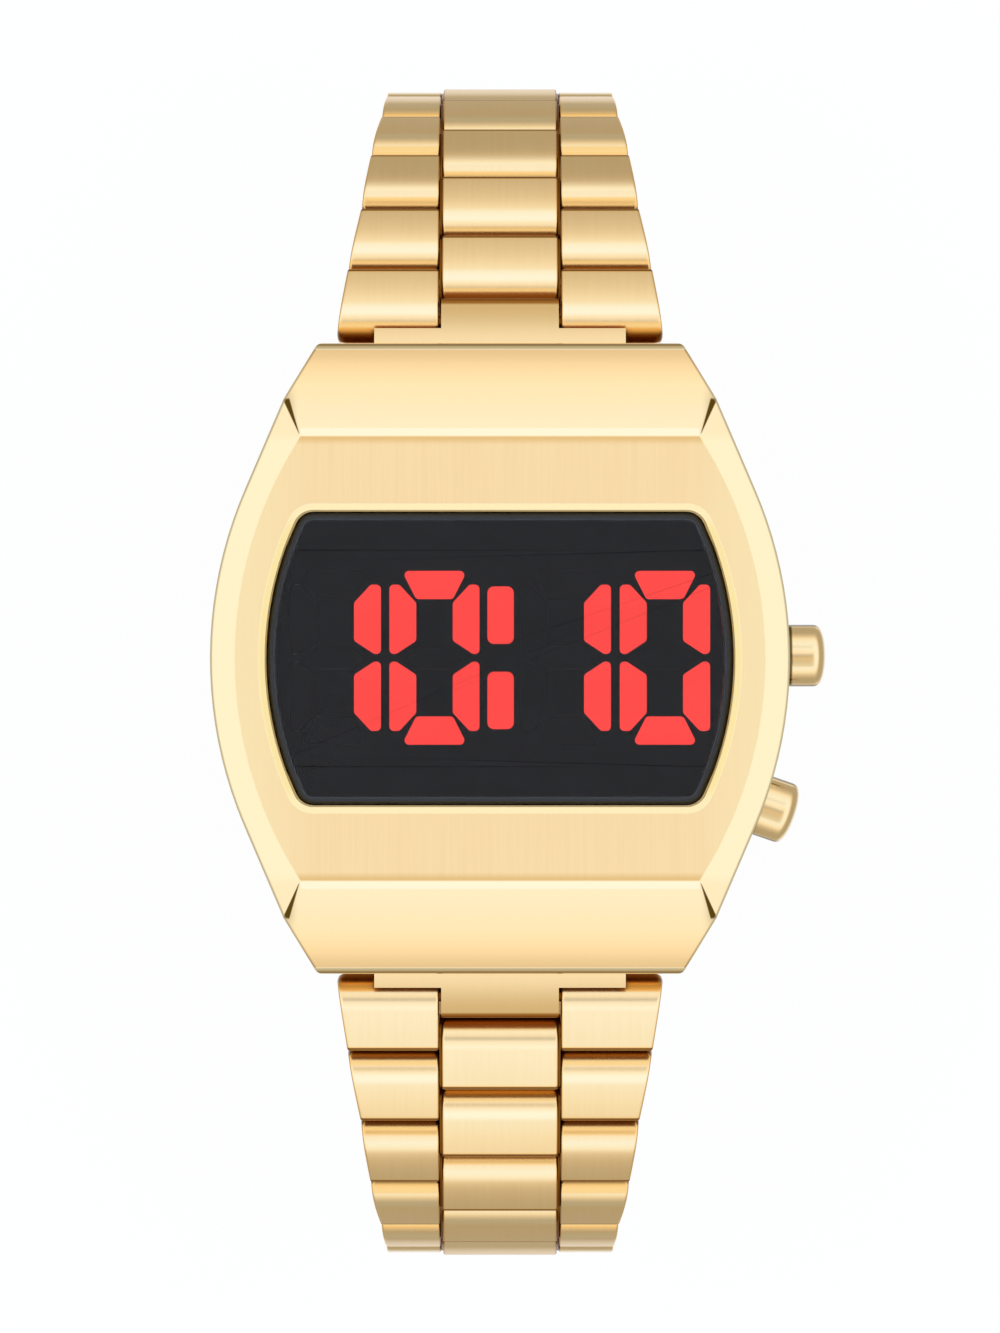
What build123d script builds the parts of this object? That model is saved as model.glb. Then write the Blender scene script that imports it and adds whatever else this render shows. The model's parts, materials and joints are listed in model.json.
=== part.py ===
"""A light-emitting-diode wristwatch on a tapering metal bracelet with a folding clasp.

Frame: +X points to 3 o'clock, +Y to 12 o'clock and +Z out of the dial. The origin
is the centre of the case back. The bracelet is closed and the watch stands on its clasp.
"""

import os
from math import asin, cos, degrees, hypot, radians, sin, tan

from build123d import *

# Case, seen from the dial side (millimetres and degrees throughout)
case_half_width = 19.55
case_half_length = 21.37
side_arc_x, side_arc_y = 17.2, 11.4  # where the round flank ends
shoulder_x, shoulder_y = 14.6, case_half_length - 3.87  # where the straight end chamfer starts
end_corner_x = 12.35
end_corner_radius = 0.6
face_z = 10.2  # flat brushed top face
case_bottom_z = 0.5
bottom_chamfer = 1.0

# Polished bevel beside the top face
bevel_edge_x = 17.85  # edge of the flat face at mid height
bevel_edge_radius = 27.3
bevel_slope = 22.4
bevel_reach = 8.0

# Sloping hood at each end of the top face
hood_length = 6.47
hood_y = case_half_length - hood_length  # edge of the flat face towards the bracelet
hood_lip = 0.6
hood_lip_drop = 0.13
hood_end_z = 6.75
hood_end_radius = 0.45
hood_bulge = 0.25
hood_shoulder = (14.4, case_half_length - 3.97)  # where the step beside the hood reaches the outline
step_lean = 1.15

# Underside of the lugs
lug_break_y = case_half_length - 4.37
lug_low = (case_half_length - 1.27, 1.9)
lug_undercut_z = 6.5

# Window, crystal and what it sits on
window_half_width = 15.75
window_half_height = 9.9
window_arc_radius = 22.0
window_corner_radius = 1.3
crystal_gap = 0.1
window_chamfer_width, window_chamfer_drop = 0.45, 0.17
crystal_top_z = 10.1
crystal_bottom_z = 8.5
crystal_bevel_width = 0.62
crystal_bevel_drop = 0.3
gasket_thickness = 0.25
ledge_width = 0.6
ledge_thickness = 0.65

# Space inside the case and the back that closes it
cavity_half_x, cavity_half_y = 13.9, 11.6
cavity_corner = 2.0
back_half_x, back_half_y = 15.4, 14.2
back_corner = 2.6
back_thickness = 1.2
back_fit = 0.05
back_screw_x, back_screw_y = 9.0, 12.95
screw_head_radius, screw_head_height = 0.85, 0.5
screw_shank_radius, screw_length = 0.5, 3.0
screw_recess = 0.05
screw_slot = (0.25, 0.22)  # width and depth
groove_offset, groove_width, groove_depth = 0.25, 0.5, 0.5

# Movement
module_clearance = 0.1
frame_wall = 0.5
frame_step = 0.7
board_z, board_thickness = 4.2, 0.8
display_z, display_thickness = 6.4, 0.6
display_half_y = 9.4
mask_fit = 0.05
mask_top_z = 8.3
segment_fit = 0.03
battery_radius, battery_thickness, battery_z = 10.0, 2.5, 1.6
strap_width, strap_thickness, strap_gap = 5.0, 0.2, 0.05
chip_side, chip_height, chip_at = 5.5, 1.0, (-2.5, 3.0)
can_radius, can_length, can_at = 0.6, 6.0, (4.0, -5.0)

# Numerals, each of seven bars, and the two bars of the colon
digit_centres = (-11.1, -4.43, 4.45, 11.15)
digit_half_width = 3.04
bar_width = 1.8
digit_y = 0.05
bar_round, colon_round = 0.3, 0.45
upright_low, upright_high = 0.26, 4.94  # ends of an upright bar above the middle of the numeral
upright_inner_low, upright_inner_high = 1.15, 3.72
upright_low_flat, upright_high_flat = 0.45, 0.67
end_bar_outer, end_bar_inner = 5.87, 3.97
end_bar_outer_half, end_bar_inner_half = 2.2, 1.24
middle_bar_half, middle_bar_flat, middle_bar_height = 1.9, 1.15, 0.75
colon_x, colon_y = 0.04, 2.88
colon_half_width, colon_half_height = 0.89, 1.94

# Push buttons
pusher_z = 5.2
upper_pusher_at, upper_pusher_tilt = (19.55, 0.2), 0.0
lower_pusher_at, lower_pusher_tilt = (17.6, -9.9), 19.0
pusher_travel = 0.7
cap_radius, cap_length, cap_back = 2.1, 2.55, 0.45
cap_dome = 0.85
cap_wall = 0.25
cap_ceiling = 1.5
counterbore_radius, counterbore_depth = 2.3, 1.6
pusher_hole_depth = 8.0  # past the inner face of the wall
tube_radius, tube_bore, tube_out = 1.25, 0.75, 0.05
stem_radius = 0.7
stem_tail = 0.8
pocket_radius, pocket_depth = 1.5, 1.0
clip_radius, clip_thickness, clip_groove = 1.2, 0.25, 0.2
seal_radius, seal_width = 1.05, 0.5
spring_radius, spring_wire, spring_turns = 1.55, 0.12, 4
leaf_thickness, leaf_width, leaf_height, leaf_foot = 0.15, 1.6, 1.3, 1.0
press_play = 0.01
running_play = 0.03

# Bracelet
pitch = 5.3
link_thickness = 2.9
row_gap = 0.25
centre_half = 4.0
side_gap = 0.15
pin_radius = 0.5
row_widths = (22.2, 20.8, 19.1, 17.9, 16.6, 16.0)  # at the case end of each row, then constant
outer_round_case, outer_round_clasp, inner_round = 0.85, 0.35, 0.3
round_margin = 0.05
edge_break = 0.12
relief_start, relief_length = 0.2, 0.8
pin_short = 0.2
first_pivot_y, first_pivot_z = case_half_length + 1.53, 3.6
upper_end_slope, lower_end_slope = 18.0, 14.0
upper_slopes = [34.5, 36.5, 48.0, 62.0, 75.5, 90.5, 106.5, 125.5, 144.5, 161.0, None, 180.0]
lower_slopes = [20.5, 28.0, 42.0, 60.5, 74.0, 87.5, 101.5, 117.5, 135.0, 152.5, 167.5, 180.0]

# End links and their spring bars
bar_y, bar_z = case_half_length - 1.77, 4.3
neck_half = 8.55
neck_radius = 1.55
neck_top = 0.95  # share of the neck's radius at which its upper face starts
lip_play, lip_low = 0.08, -0.3
tongue_shoulder = -0.8
lug_play = 0.15
lug_slot_half, lug_slot_back, lug_slot_roof = neck_half + lug_play, bar_y - 1.9, 6.15
bar_radius, bar_bore = 0.75, 0.43
bar_tip_radius, bar_tip_reach, bar_tip_inset = 0.4, neck_half + 1.45, 1.5
tip_play = 0.05

# Folding clasp, measured along the clasp and inwards from the pivot height
cover_half = 8.0
cover_drop = 0.1  # below the links beside it, so the watch stands on it
cover_gap = 0.5  # room for the last row to turn
plate_top = -0.65
flange_wall, flange_top = 1.0, 1.2
ear_round = 1.3
ear_length = 2.1
blade_pin_radius = 0.45
cover_tip_radius, cover_tip_out = 0.29, 0.9
fold_split = 3.0
hinge_round = 0.8
fold_u, fold_w = 4.3, 0.5
cover_hinge_w = -0.3
ear_reach = 0.95
middle_low, middle_high, middle_half = -0.45, 0.35, 6.85
bottom_low, bottom_high, bottom_half = 0.65, 1.45, 6.5
knuckle_round, knuckle_half = 1.2, 3.95
tip_standoff = 0.13
clasp_edge_round = 0.35

os.makedirs("parts", exist_ok=True)


def write(piece, name):
    """Label a finished piece and write it under its own name."""
    piece.label = name
    export_step(piece, f"parts/{name}.step")


def rod(plane, start, end, radius, mode=Mode.ADD):
    """Round bar along the plane's normal, from start to end."""
    with BuildSketch(plane.offset(start)) as section:
        Circle(radius)
    extrude(section.sketch, amount=end - start, mode=mode)


def ring(plane, start, end, outer, inner, mode=Mode.ADD):
    """Round tube along the plane's normal, from start to end."""
    with BuildSketch(plane.offset(start)) as section:
        Circle(outer)
        Circle(inner, mode=Mode.SUBTRACT)
    extrude(section.sketch, amount=end - start, mode=mode)


def across(y, z):
    """Plane through (y, z) whose normal runs along the width of the watch."""
    return Plane(origin=(0, y, z), x_dir=(0, 1, 0), z_dir=(1, 0, 0))


def block(centre, size, mode=Mode.ADD):
    """Rectangular block that stands on its centre point."""
    with BuildSketch(Plane(origin=centre)) as section:
        Rectangle(size[0], size[1])
    extrude(section.sketch, amount=size[2], mode=mode)


def rounded_plate(z, half_x, half_y, corner, thickness, mode=Mode.ADD):
    """Rectangular plate with round corners."""
    with BuildSketch(Plane.XY.offset(z)) as section:
        RectangleRounded(2 * half_x, 2 * half_y, corner)
    extrude(section.sketch, amount=thickness, mode=mode)


def window_shape(z, grow):
    """Outline of the window at a height, grown or shrunk all round."""
    arc_end = window_half_width - window_arc_radius
    arc_end += (window_arc_radius**2 - window_half_height**2) ** 0.5
    with BuildSketch(Plane.XY.offset(z)) as outline:
        with BuildLine():
            for side in (1, -1):
                low = (side * arc_end, -window_half_height)
                high = (side * arc_end, window_half_height)
                ThreePointArc(low, (side * window_half_width, 0), high)
            for end in (1, -1):
                Line((-arc_end, end * window_half_height), (arc_end, end * window_half_height))
        make_face()
        fillet(outline.vertices(), window_corner_radius)
        offset(amount=grow)
    return outline.sketch


def case_shape(z, corner_radius):
    """Outline of the case at a height, with its four end corners sharp or rounded."""
    with BuildSketch(Plane.XY.offset(z)) as outline:
        with BuildLine():
            for side in (1, -1):
                low = (side * side_arc_x, -side_arc_y)
                high = (side * side_arc_x, side_arc_y)
                ThreePointArc(low, (side * case_half_width, 0), high)
                for end in (1, -1):
                    Polyline(
                        (side * side_arc_x, end * side_arc_y),
                        (side * shoulder_x, end * shoulder_y),
                        (side * end_corner_x, end * case_half_length),
                    )
            for end in (1, -1):
                Line((-end_corner_x, end * case_half_length), (end_corner_x, end * case_half_length))
        make_face()
        if corner_radius:
            for end in (0, -1):
                fillet(outline.vertices().group_by(Axis.Y)[end], corner_radius)
    return outline.sketch


def pusher_plane(at, tilt):
    """Plane on the case flank whose normal points out along a push button."""
    outward = (cos(radians(tilt)), -sin(radians(tilt)), 0)
    return Plane(origin=(at[0], at[1], pusher_z), x_dir=(0, 0, 1), z_dir=outward)


def inner_end(at, tilt):
    """Where the case wall ends inside, along the axis of a push button."""
    return (cavity_half_x - at[0]) / cos(radians(tilt)) + pocket_depth


pushers = {
    "upper": (pusher_plane(upper_pusher_at, upper_pusher_tilt), inner_end(upper_pusher_at, upper_pusher_tilt)),
    "lower": (pusher_plane(lower_pusher_at, lower_pusher_tilt), inner_end(lower_pusher_at, lower_pusher_tilt)),
}

# Cutter that shapes one hood
run_y = case_half_length - hood_end_radius - hood_y - hood_lip
fall_z = face_z - hood_lip_drop - hood_end_z - hood_end_radius
hood_run = hypot(run_y, fall_z)
hood_start = (hood_y + hood_lip, face_z - hood_lip_drop)
hood_stop = (hood_start[0] + run_y, hood_start[1] - fall_z)
hood_middle = (
    hood_start[0] + run_y / 2 + hood_bulge * fall_z / hood_run,
    hood_start[1] - fall_z / 2 + hood_bulge * run_y / hood_run,
)
hood_edge = (case_half_length - 0.3 * hood_end_radius, hood_end_z + 0.62 * hood_end_radius)
bevel_centre = bevel_edge_radius - bevel_edge_x
bevel_corner_x = (bevel_edge_radius**2 - hood_y**2) ** 0.5 - bevel_centre
shoulder_reach = hypot(hood_shoulder[0] + bevel_centre, hood_shoulder[1]) - bevel_edge_radius
shoulder_z = face_z - shoulder_reach * tan(radians(bevel_slope))
step_planes = []
for side in (1, -1):
    corner = Vector(side * bevel_corner_x, hood_y, face_z)
    along = Vector(side * hood_shoulder[0], hood_shoulder[1], shoulder_z) - corner
    facing = along.cross(Vector(-side * step_lean, 0, -1)) * side
    step_planes.append(Plane(origin=corner, x_dir=along, z_dir=facing))
with BuildPart() as hood_cutter:
    with BuildSketch(Plane.YZ):
        with BuildLine():
            Line((hood_y, face_z), hood_start)
            ThreePointArc(hood_start, hood_middle, hood_stop)
            ThreePointArc(hood_stop, hood_edge, (case_half_length, hood_end_z))
            Polyline(
                (case_half_length, hood_end_z),
                (case_half_length + 3, hood_end_z),
                (case_half_length + 3, face_z + 2),
                (hood_y, face_z + 2),
                (hood_y, face_z),
            )
        make_face()
    extrude(amount=case_half_width, both=True)
    for step_plane in step_planes:
        split(bisect_by=step_plane, keep=Keep.TOP)

# Case body
with BuildPart() as case_body:
    extrude(case_shape(case_bottom_z, 0), amount=face_z - case_bottom_z)
    chamfer(case_body.faces().sort_by(Axis.Z)[0].edges(), bottom_chamfer)
    extrude(case_shape(0, end_corner_radius), amount=face_z, mode=Mode.INTERSECT)
    # Bevel on each flank
    for side in (1, -1):
        with BuildSketch(Plane.XZ):
            Polygon(
                (side * bevel_edge_x, face_z),
                (side * (bevel_edge_x + bevel_reach), face_z - bevel_reach * tan(radians(bevel_slope))),
                (side * (bevel_edge_x + bevel_reach), face_z + 2),
                (side * bevel_edge_x, face_z + 2),
                align=None,
            )
        revolve(axis=Axis((-side * bevel_centre, 0, 0), (0, 0, 1)), mode=Mode.SUBTRACT)
    # Hood, underside and bracelet slot at each end
    for end in (1, -1):
        cutter = hood_cutter.part if end == 1 else mirror(hood_cutter.part, about=Plane.XZ, mode=Mode.PRIVATE)
        add(cutter, mode=Mode.SUBTRACT)
        with BuildSketch(Plane.YZ):
            Polygon(
                (end * lug_break_y, case_bottom_z),
                (end * lug_low[0], lug_low[1]),
                (end * case_half_length, lug_undercut_z),
                (end * (case_half_length + 3), lug_undercut_z),
                (end * (case_half_length + 3), -1),
                (end * lug_break_y, -1),
                align=None,
            )
        extrude(amount=case_half_width, both=True, mode=Mode.SUBTRACT)
        slot_length = case_half_length + 1 - lug_slot_back
        slot_centre = (0, end * (lug_slot_back + slot_length / 2), -1)
        block(slot_centre, (2 * lug_slot_half, slot_length, lug_slot_roof + 1), mode=Mode.SUBTRACT)
        tip_hole = bar_tip_reach + tip_play
        rod(across(end * bar_y, bar_z), -tip_hole, tip_hole, bar_tip_radius + tip_play, mode=Mode.SUBTRACT)
    # Window with its bright chamfer, crystal seat and ledge
    extrude(window_shape(crystal_bottom_z - gasket_thickness, crystal_gap), amount=3, mode=Mode.SUBTRACT)
    face = case_body.faces().filter_by(Axis.Z).sort_by(Axis.Z)[-1]
    chamfer(
        face.inner_wires()[0].edges(),
        length=window_chamfer_width,
        length2=window_chamfer_drop,
        reference=face,
    )
    ledge_top_z = crystal_bottom_z - gasket_thickness
    extrude(window_shape(back_thickness, -ledge_width), amount=ledge_top_z - back_thickness, mode=Mode.SUBTRACT)
    # Inner space, seat for the back, seal groove and screw holes
    cavity_top_z = ledge_top_z - ledge_thickness
    rounded_plate(0, cavity_half_x, cavity_half_y, cavity_corner, cavity_top_z, mode=Mode.SUBTRACT)
    seat_x, seat_y = back_half_x + back_fit, back_half_y + back_fit
    rounded_plate(0, seat_x, seat_y, back_corner + back_fit, back_thickness, mode=Mode.SUBTRACT)
    groove_inner = (cavity_half_x + groove_offset, cavity_half_y + groove_offset)
    groove_outer = (groove_inner[0] + groove_width, groove_inner[1] + groove_width)
    with BuildSketch(Plane.XY.offset(back_thickness)):
        RectangleRounded(2 * groove_outer[0], 2 * groove_outer[1], cavity_corner + groove_offset + groove_width)
        RectangleRounded(
            2 * groove_inner[0], 2 * groove_inner[1], cavity_corner + groove_offset, mode=Mode.SUBTRACT
        )
    extrude(amount=groove_depth, mode=Mode.SUBTRACT)
    with BuildSketch(Plane.XY.offset(back_thickness)):
        with GridLocations(2 * back_screw_x, 2 * back_screw_y, 2, 2):
            Circle(screw_shank_radius + press_play)
    extrude(amount=screw_length - back_thickness + 0.3, mode=Mode.SUBTRACT)
    # Push button holes
    for plane, inside in pushers.values():
        rod(plane, -pusher_hole_depth, tube_out, tube_radius + press_play, mode=Mode.SUBTRACT)
        rod(plane, -counterbore_depth, 3, counterbore_radius, mode=Mode.SUBTRACT)
        rod(plane, inside - 3, inside, pocket_radius, mode=Mode.SUBTRACT)
write(case_body.part, "case_body")

# Crystal with a bevelled edge
with BuildPart() as crystal:
    extrude(window_shape(crystal_bottom_z, 0), amount=crystal_top_z - crystal_bottom_z)
    crystal_face = crystal.faces().sort_by(Axis.Z)[-1]
    chamfer(crystal_face.edges(), crystal_bevel_width, crystal_bevel_drop, reference=crystal_face)
write(crystal.part, "crystal")

# Gasket under the crystal
with BuildPart() as crystal_gasket:
    extrude(window_shape(ledge_top_z, 0), amount=gasket_thickness)
    extrude(window_shape(ledge_top_z, -ledge_width), amount=gasket_thickness, mode=Mode.SUBTRACT)
write(crystal_gasket.part, "crystal_gasket")


def upright_bar(side, end):
    """Corners of one upright bar: its straight edge outside, its slanted corners inside."""
    outer, inner = digit_half_width, digit_half_width - bar_width
    return [
        (side * outer, end * upright_low),
        (side * (outer - upright_low_flat), end * upright_low),
        (side * inner, end * upright_inner_low),
        (side * inner, end * upright_inner_high),
        (side * (outer - upright_high_flat), end * upright_high),
        (side * outer, end * upright_high),
    ]


def end_bar(end):
    """Corners of the top or bottom bar of a numeral, wide outside and narrow inside."""
    return [
        (-end_bar_outer_half, end * end_bar_outer),
        (end_bar_outer_half, end * end_bar_outer),
        (end_bar_inner_half, end * end_bar_inner),
        (-end_bar_inner_half, end * end_bar_inner),
    ]


middle_bar = [
    (-middle_bar_half, 0),
    (-middle_bar_flat, middle_bar_height),
    (middle_bar_flat, middle_bar_height),
    (middle_bar_half, 0),
    (middle_bar_flat, -middle_bar_height),
    (-middle_bar_flat, -middle_bar_height),
]
uprights = {(side, end): upright_bar(side, end) for side in (1, -1) for end in (1, -1)}
right_pair = [uprights[1, 1], uprights[1, -1]]
left_pair = [uprights[-1, 1], uprights[-1, -1]]
ends_pair = [end_bar(1), end_bar(-1)]
lit_bars, dark_bars = [], []
for place, centre in enumerate(digit_centres):
    shows_zero = place % 2 == 1
    lit = right_pair + (left_pair + ends_pair if shows_zero else [])
    dark = [middle_bar] + ([] if shows_zero else left_pair + ends_pair)
    lit_bars += [(centre, corners, bar_round) for corners in lit]
    dark_bars += [(centre, corners, bar_round) for corners in dark]
for end in (1, -1):
    corners = [
        (-colon_half_width, end * colon_y - colon_half_height),
        (colon_half_width, end * colon_y - colon_half_height),
        (colon_half_width, end * colon_y + colon_half_height),
        (-colon_half_width, end * colon_y + colon_half_height),
    ]
    lit_bars.append((colon_x, corners, colon_round))


def bar_shapes(bars, z, grow=0.0):
    """Faces of a list of numeral bars at a height, with round corners."""
    with BuildSketch(Plane.XY.offset(z)) as faces:
        for centre, corners, corner_round in bars:
            with BuildSketch(mode=Mode.PRIVATE) as face:
                Polygon(*[(centre + x, digit_y + y) for x, y in corners], align=None)
                fillet(face.vertices(), corner_round)
                offset(amount=grow)
            add(face.sketch)
    return faces.sketch


# Display: black mask, bars of light inside it, and the board that carries them
display_top_z = display_z + display_thickness
with BuildPart() as segment_mask:
    mask_grow = -ledge_width - mask_fit
    extrude(window_shape(display_top_z, mask_grow), amount=mask_top_z - display_top_z)
    extrude(bar_shapes(lit_bars + dark_bars, display_top_z, segment_fit), amount=3, mode=Mode.SUBTRACT)
write(segment_mask.part, "segment_mask")
with BuildPart() as lit_segments:
    extrude(bar_shapes(lit_bars, display_top_z), amount=mask_top_z - display_top_z)
write(lit_segments.part, "lit_segments")
with BuildPart() as unlit_segments:
    extrude(bar_shapes(dark_bars, display_top_z), amount=mask_top_z - display_top_z)
write(unlit_segments.part, "unlit_segments")
module_x, module_y = cavity_half_x - module_clearance, cavity_half_y - module_clearance
with BuildPart() as display_board:
    rounded_plate(display_z, module_x - 0.2, display_half_y, 0.8, display_thickness)
write(display_board.part, "display_board")

# Movement holder with a step that carries the board, open where the stems reach in
module_bottom_z = back_thickness + module_clearance
step_x, step_y = module_x - frame_wall - frame_step, module_y - frame_wall - frame_step
leaf_places = {}
with BuildPart() as module_frame:
    rounded_plate(
        module_bottom_z, module_x, module_y, cavity_corner - module_clearance, display_z - module_bottom_z
    )
    rounded_plate(0, step_x, step_y, 1.0, display_z, mode=Mode.SUBTRACT)
    rounded_plate(board_z, module_x - frame_wall, module_y - frame_wall, 1.4, 3, mode=Mode.SUBTRACT)
    for name, (plane, inside) in pushers.items():
        reach = inside - pocket_depth
        stem_at = plane.origin + plane.z_dir * reach
        leaf_places[name] = stem_at
        block((module_x, stem_at.Y, board_z), (4, 4, 3), mode=Mode.SUBTRACT)
write(module_frame.part, "module_frame")
board_half_x = module_x - frame_wall - module_clearance
board_half_y = module_y - frame_wall - module_clearance
board_top_z = board_z + board_thickness
with BuildPart() as circuit_board:
    rounded_plate(board_z, board_half_x, board_half_y, 1.3, board_thickness)
write(circuit_board.part, "circuit_board")

# Spring leaves on the board, drawn where a fully pressed stem leaves them
with BuildPart() as switch_contacts:
    for name, (plane, inside) in pushers.items():
        tilt = asin(-plane.z_dir.Y)
        pressed_x = leaf_places[name].X - (stem_tail - pocket_depth + pusher_travel) * cos(tilt)
        leaf_x = pressed_x - stem_radius * sin(tilt) - leaf_thickness
        leaf_y = leaf_places[name].Y
        block((leaf_x, leaf_y, board_top_z), (leaf_thickness, leaf_width, leaf_height))
        block((leaf_x - leaf_foot / 2, leaf_y, board_top_z), (leaf_foot, leaf_width, leaf_thickness))
write(switch_contacts.part, "switch_contacts")
with BuildPart() as control_chip:
    block((*chip_at, board_top_z), (chip_side, chip_side, chip_height))
    chamfer(control_chip.faces().sort_by(Axis.Z)[-1].edges(), 0.15)
write(control_chip.part, "control_chip")
with BuildPart() as quartz_can:
    can_plane = Plane(origin=(*can_at, board_top_z + can_radius), x_dir=(0, 1, 0), z_dir=(1, 0, 0))
    rod(can_plane, -can_length / 2, can_length / 2, can_radius)
    fillet(quartz_can.edges().filter_by(GeomType.CIRCLE), 0.2)
write(quartz_can.part, "quartz_can")

# Button cell and the strap that carries it, clipped under the movement holder
with BuildPart() as battery:
    rod(Plane.XY, battery_z, battery_z + battery_thickness, battery_radius)
    fillet(battery.edges().filter_by(GeomType.CIRCLE).sort_by(Axis.Z)[0], 0.4)
write(battery.part, "battery")
with BuildPart() as battery_strap:
    strap_z = module_bottom_z + strap_gap
    block((0, 0, strap_z), (strap_width, 2 * (step_y - strap_gap), strap_thickness))
write(battery_strap.part, "battery_strap")

# Case back, its seal and its four screws
with BuildPart() as case_back:
    rounded_plate(0, back_half_x, back_half_y, back_corner, back_thickness)
    chamfer(case_back.faces().sort_by(Axis.Z)[0].edges(), 0.3)
    with BuildSketch(Plane.XY):
        with GridLocations(2 * back_screw_x, 2 * back_screw_y, 2, 2):
            Circle(screw_shank_radius + 0.1)
    extrude(amount=back_thickness, mode=Mode.SUBTRACT)
    with BuildSketch(Plane.XY):
        with GridLocations(2 * back_screw_x, 2 * back_screw_y, 2, 2):
            Circle(screw_head_radius + press_play)
    extrude(amount=screw_head_height + screw_recess, mode=Mode.SUBTRACT)
write(case_back.part, "case_back")
with BuildPart() as case_back_gasket:
    squeeze = 0.03
    with BuildSketch(Plane.XY.offset(back_thickness)):
        outer_x, outer_y = groove_outer[0] - squeeze, groove_outer[1] - squeeze
        inner_x, inner_y = groove_inner[0] + squeeze, groove_inner[1] + squeeze
        RectangleRounded(2 * outer_x, 2 * outer_y, cavity_corner + groove_offset + groove_width)
        RectangleRounded(2 * inner_x, 2 * inner_y, cavity_corner + groove_offset, mode=Mode.SUBTRACT)
    extrude(amount=groove_depth - squeeze)
write(case_back_gasket.part, "case_back_gasket")
with BuildPart() as case_back_screws:
    with BuildSketch(Plane.XY.offset(screw_recess)):
        with GridLocations(2 * back_screw_x, 2 * back_screw_y, 2, 2):
            Circle(screw_head_radius)
    extrude(amount=screw_head_height)
    with BuildSketch(Plane.XY.offset(screw_recess)):
        with GridLocations(2 * back_screw_x, 2 * back_screw_y, 2, 2):
            Circle(screw_shank_radius)
    extrude(amount=screw_length)
    with BuildSketch(Plane.XY.offset(screw_recess)):
        with GridLocations(2 * back_screw_x, 2 * back_screw_y, 2, 2):
            Rectangle(screw_slot[0], 3 * screw_head_radius, rotation=30)
    extrude(amount=screw_slot[1], mode=Mode.SUBTRACT)
write(case_back_screws.part, "case_back_screws")

# Push buttons: guide tubes and seals stay in the case, the rest of each button slides
with BuildPart() as pusher_tubes:
    for plane, inside in pushers.values():
        ring(plane, inside, tube_out, tube_radius, tube_bore)
        seal_start = (inside + tube_out) / 2
        rod(plane, seal_start, seal_start + seal_width, seal_radius, mode=Mode.SUBTRACT)
write(pusher_tubes.part, "pusher_tubes")
with BuildPart() as pusher_seals:
    for plane, inside in pushers.values():
        seal_start = (inside + tube_out) / 2 + press_play
        seal_end = seal_start + seal_width - 2 * press_play
        ring(plane, seal_start, seal_end, seal_radius - press_play, stem_radius + press_play)
write(pusher_seals.part, "pusher_seals")


def make_cap(plane, inside, name):
    """Domed cap, hollow behind, with the stem that runs through the guide tube."""
    rim_start = cap_length - cap_dome
    with BuildPart() as cap:
        rod(plane, -cap_back, rim_start, cap_radius)
        with BuildSketch(Plane(origin=plane.origin, x_dir=plane.z_dir, z_dir=plane.x_dir)):
            with BuildLine():
                Line((rim_start, 0), (cap_length, 0))
                ThreePointArc(
                    (cap_length, 0),
                    (cap_length - 0.24 * cap_dome, 0.67 * cap_radius),
                    (rim_start, cap_radius),
                )
                Line((rim_start, cap_radius), (rim_start, 0))
            make_face()
        revolve(axis=Axis(plane.origin, plane.z_dir))
        rod(plane, -cap_back, cap_ceiling, cap_radius - cap_wall, mode=Mode.SUBTRACT)
        stem_end = inside - stem_tail
        rod(plane, stem_end, cap_ceiling + 0.2, stem_radius)
        clip_start = inside - clip_thickness - 0.1
        slot = (clip_start - press_play, clip_start + clip_thickness + press_play)
        ring(plane, *slot, stem_radius + 0.1, stem_radius - clip_groove, mode=Mode.SUBTRACT)
    write(cap.part, f"{name}_pusher")


def make_clip(plane, inside, name):
    """Open ring that snaps into the stem's groove inside the case."""
    clip_start = inside - clip_thickness - 0.1
    with BuildPart() as clip:
        ring(plane, clip_start, clip_start + clip_thickness, clip_radius, stem_radius - clip_groove + press_play)
        with BuildSketch(plane.offset(clip_start)) as opening:
            with Locations((clip_radius, 0)):
                Rectangle(2 * clip_radius, 0.8 * stem_radius)
        extrude(opening.sketch, amount=clip_thickness, mode=Mode.SUBTRACT)
    write(clip.part, f"{name}_pusher_clip")


def make_spring(plane, name):
    """Return spring round the guide tube, between the case and the cap."""
    length = cap_ceiling + counterbore_depth - 2 * spring_wire - 2 * running_play
    start = -counterbore_depth + spring_wire + running_play
    with BuildPart() as spring:
        with BuildLine() as coil:
            Helix(
                pitch=length / spring_turns,
                height=length,
                radius=spring_radius,
                center=plane.origin + plane.z_dir * start,
                direction=plane.z_dir,
            )
        with BuildSketch(Plane(origin=coil.line @ 0, z_dir=coil.line % 0)):
            Circle(spring_wire)
        sweep(path=coil.line, is_frenet=True)
    write(spring.part, f"{name}_pusher_spring")


for name, (plane, inside) in pushers.items():
    make_cap(plane, inside, name)
    make_clip(plane, inside, name)
    make_spring(plane, name)


def spring_bar(plane, half, reach, radius=bar_radius):
    """Tube with a sprung tip in each end."""
    ring(plane, -half, half, radius, bar_bore)
    for side in (1, -1):
        rod(plane, side * (half - bar_tip_inset), side * reach, bar_tip_radius)


# Spring bars between the lugs
with BuildPart() as lug_spring_bars:
    for end in (1, -1):
        spring_bar(across(end * bar_y, bar_z), neck_half - 0.1, bar_tip_reach)
write(lug_spring_bars.part, "lug_spring_bars")

# Both halves of the bracelet end at one height, so one upper slope is worked out
upper_fall = sum(sin(radians(slope)) for slope in upper_slopes if slope is not None)
lower_fall = sum(sin(radians(slope)) for slope in lower_slopes)
upper_slopes[upper_slopes.index(None)] = 180 - degrees(asin(lower_fall - upper_fall))
half_link = link_thickness / 2
knuckle = pitch / 4
block_length = pitch - row_gap
round_case = min(outer_round_case, half_link - relief_start - round_margin)
end_reach = hypot(knuckle - round_case, half_link - round_case) + round_case  # of a row's end, about its hinge
lip_radius = end_reach + lip_play


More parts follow.
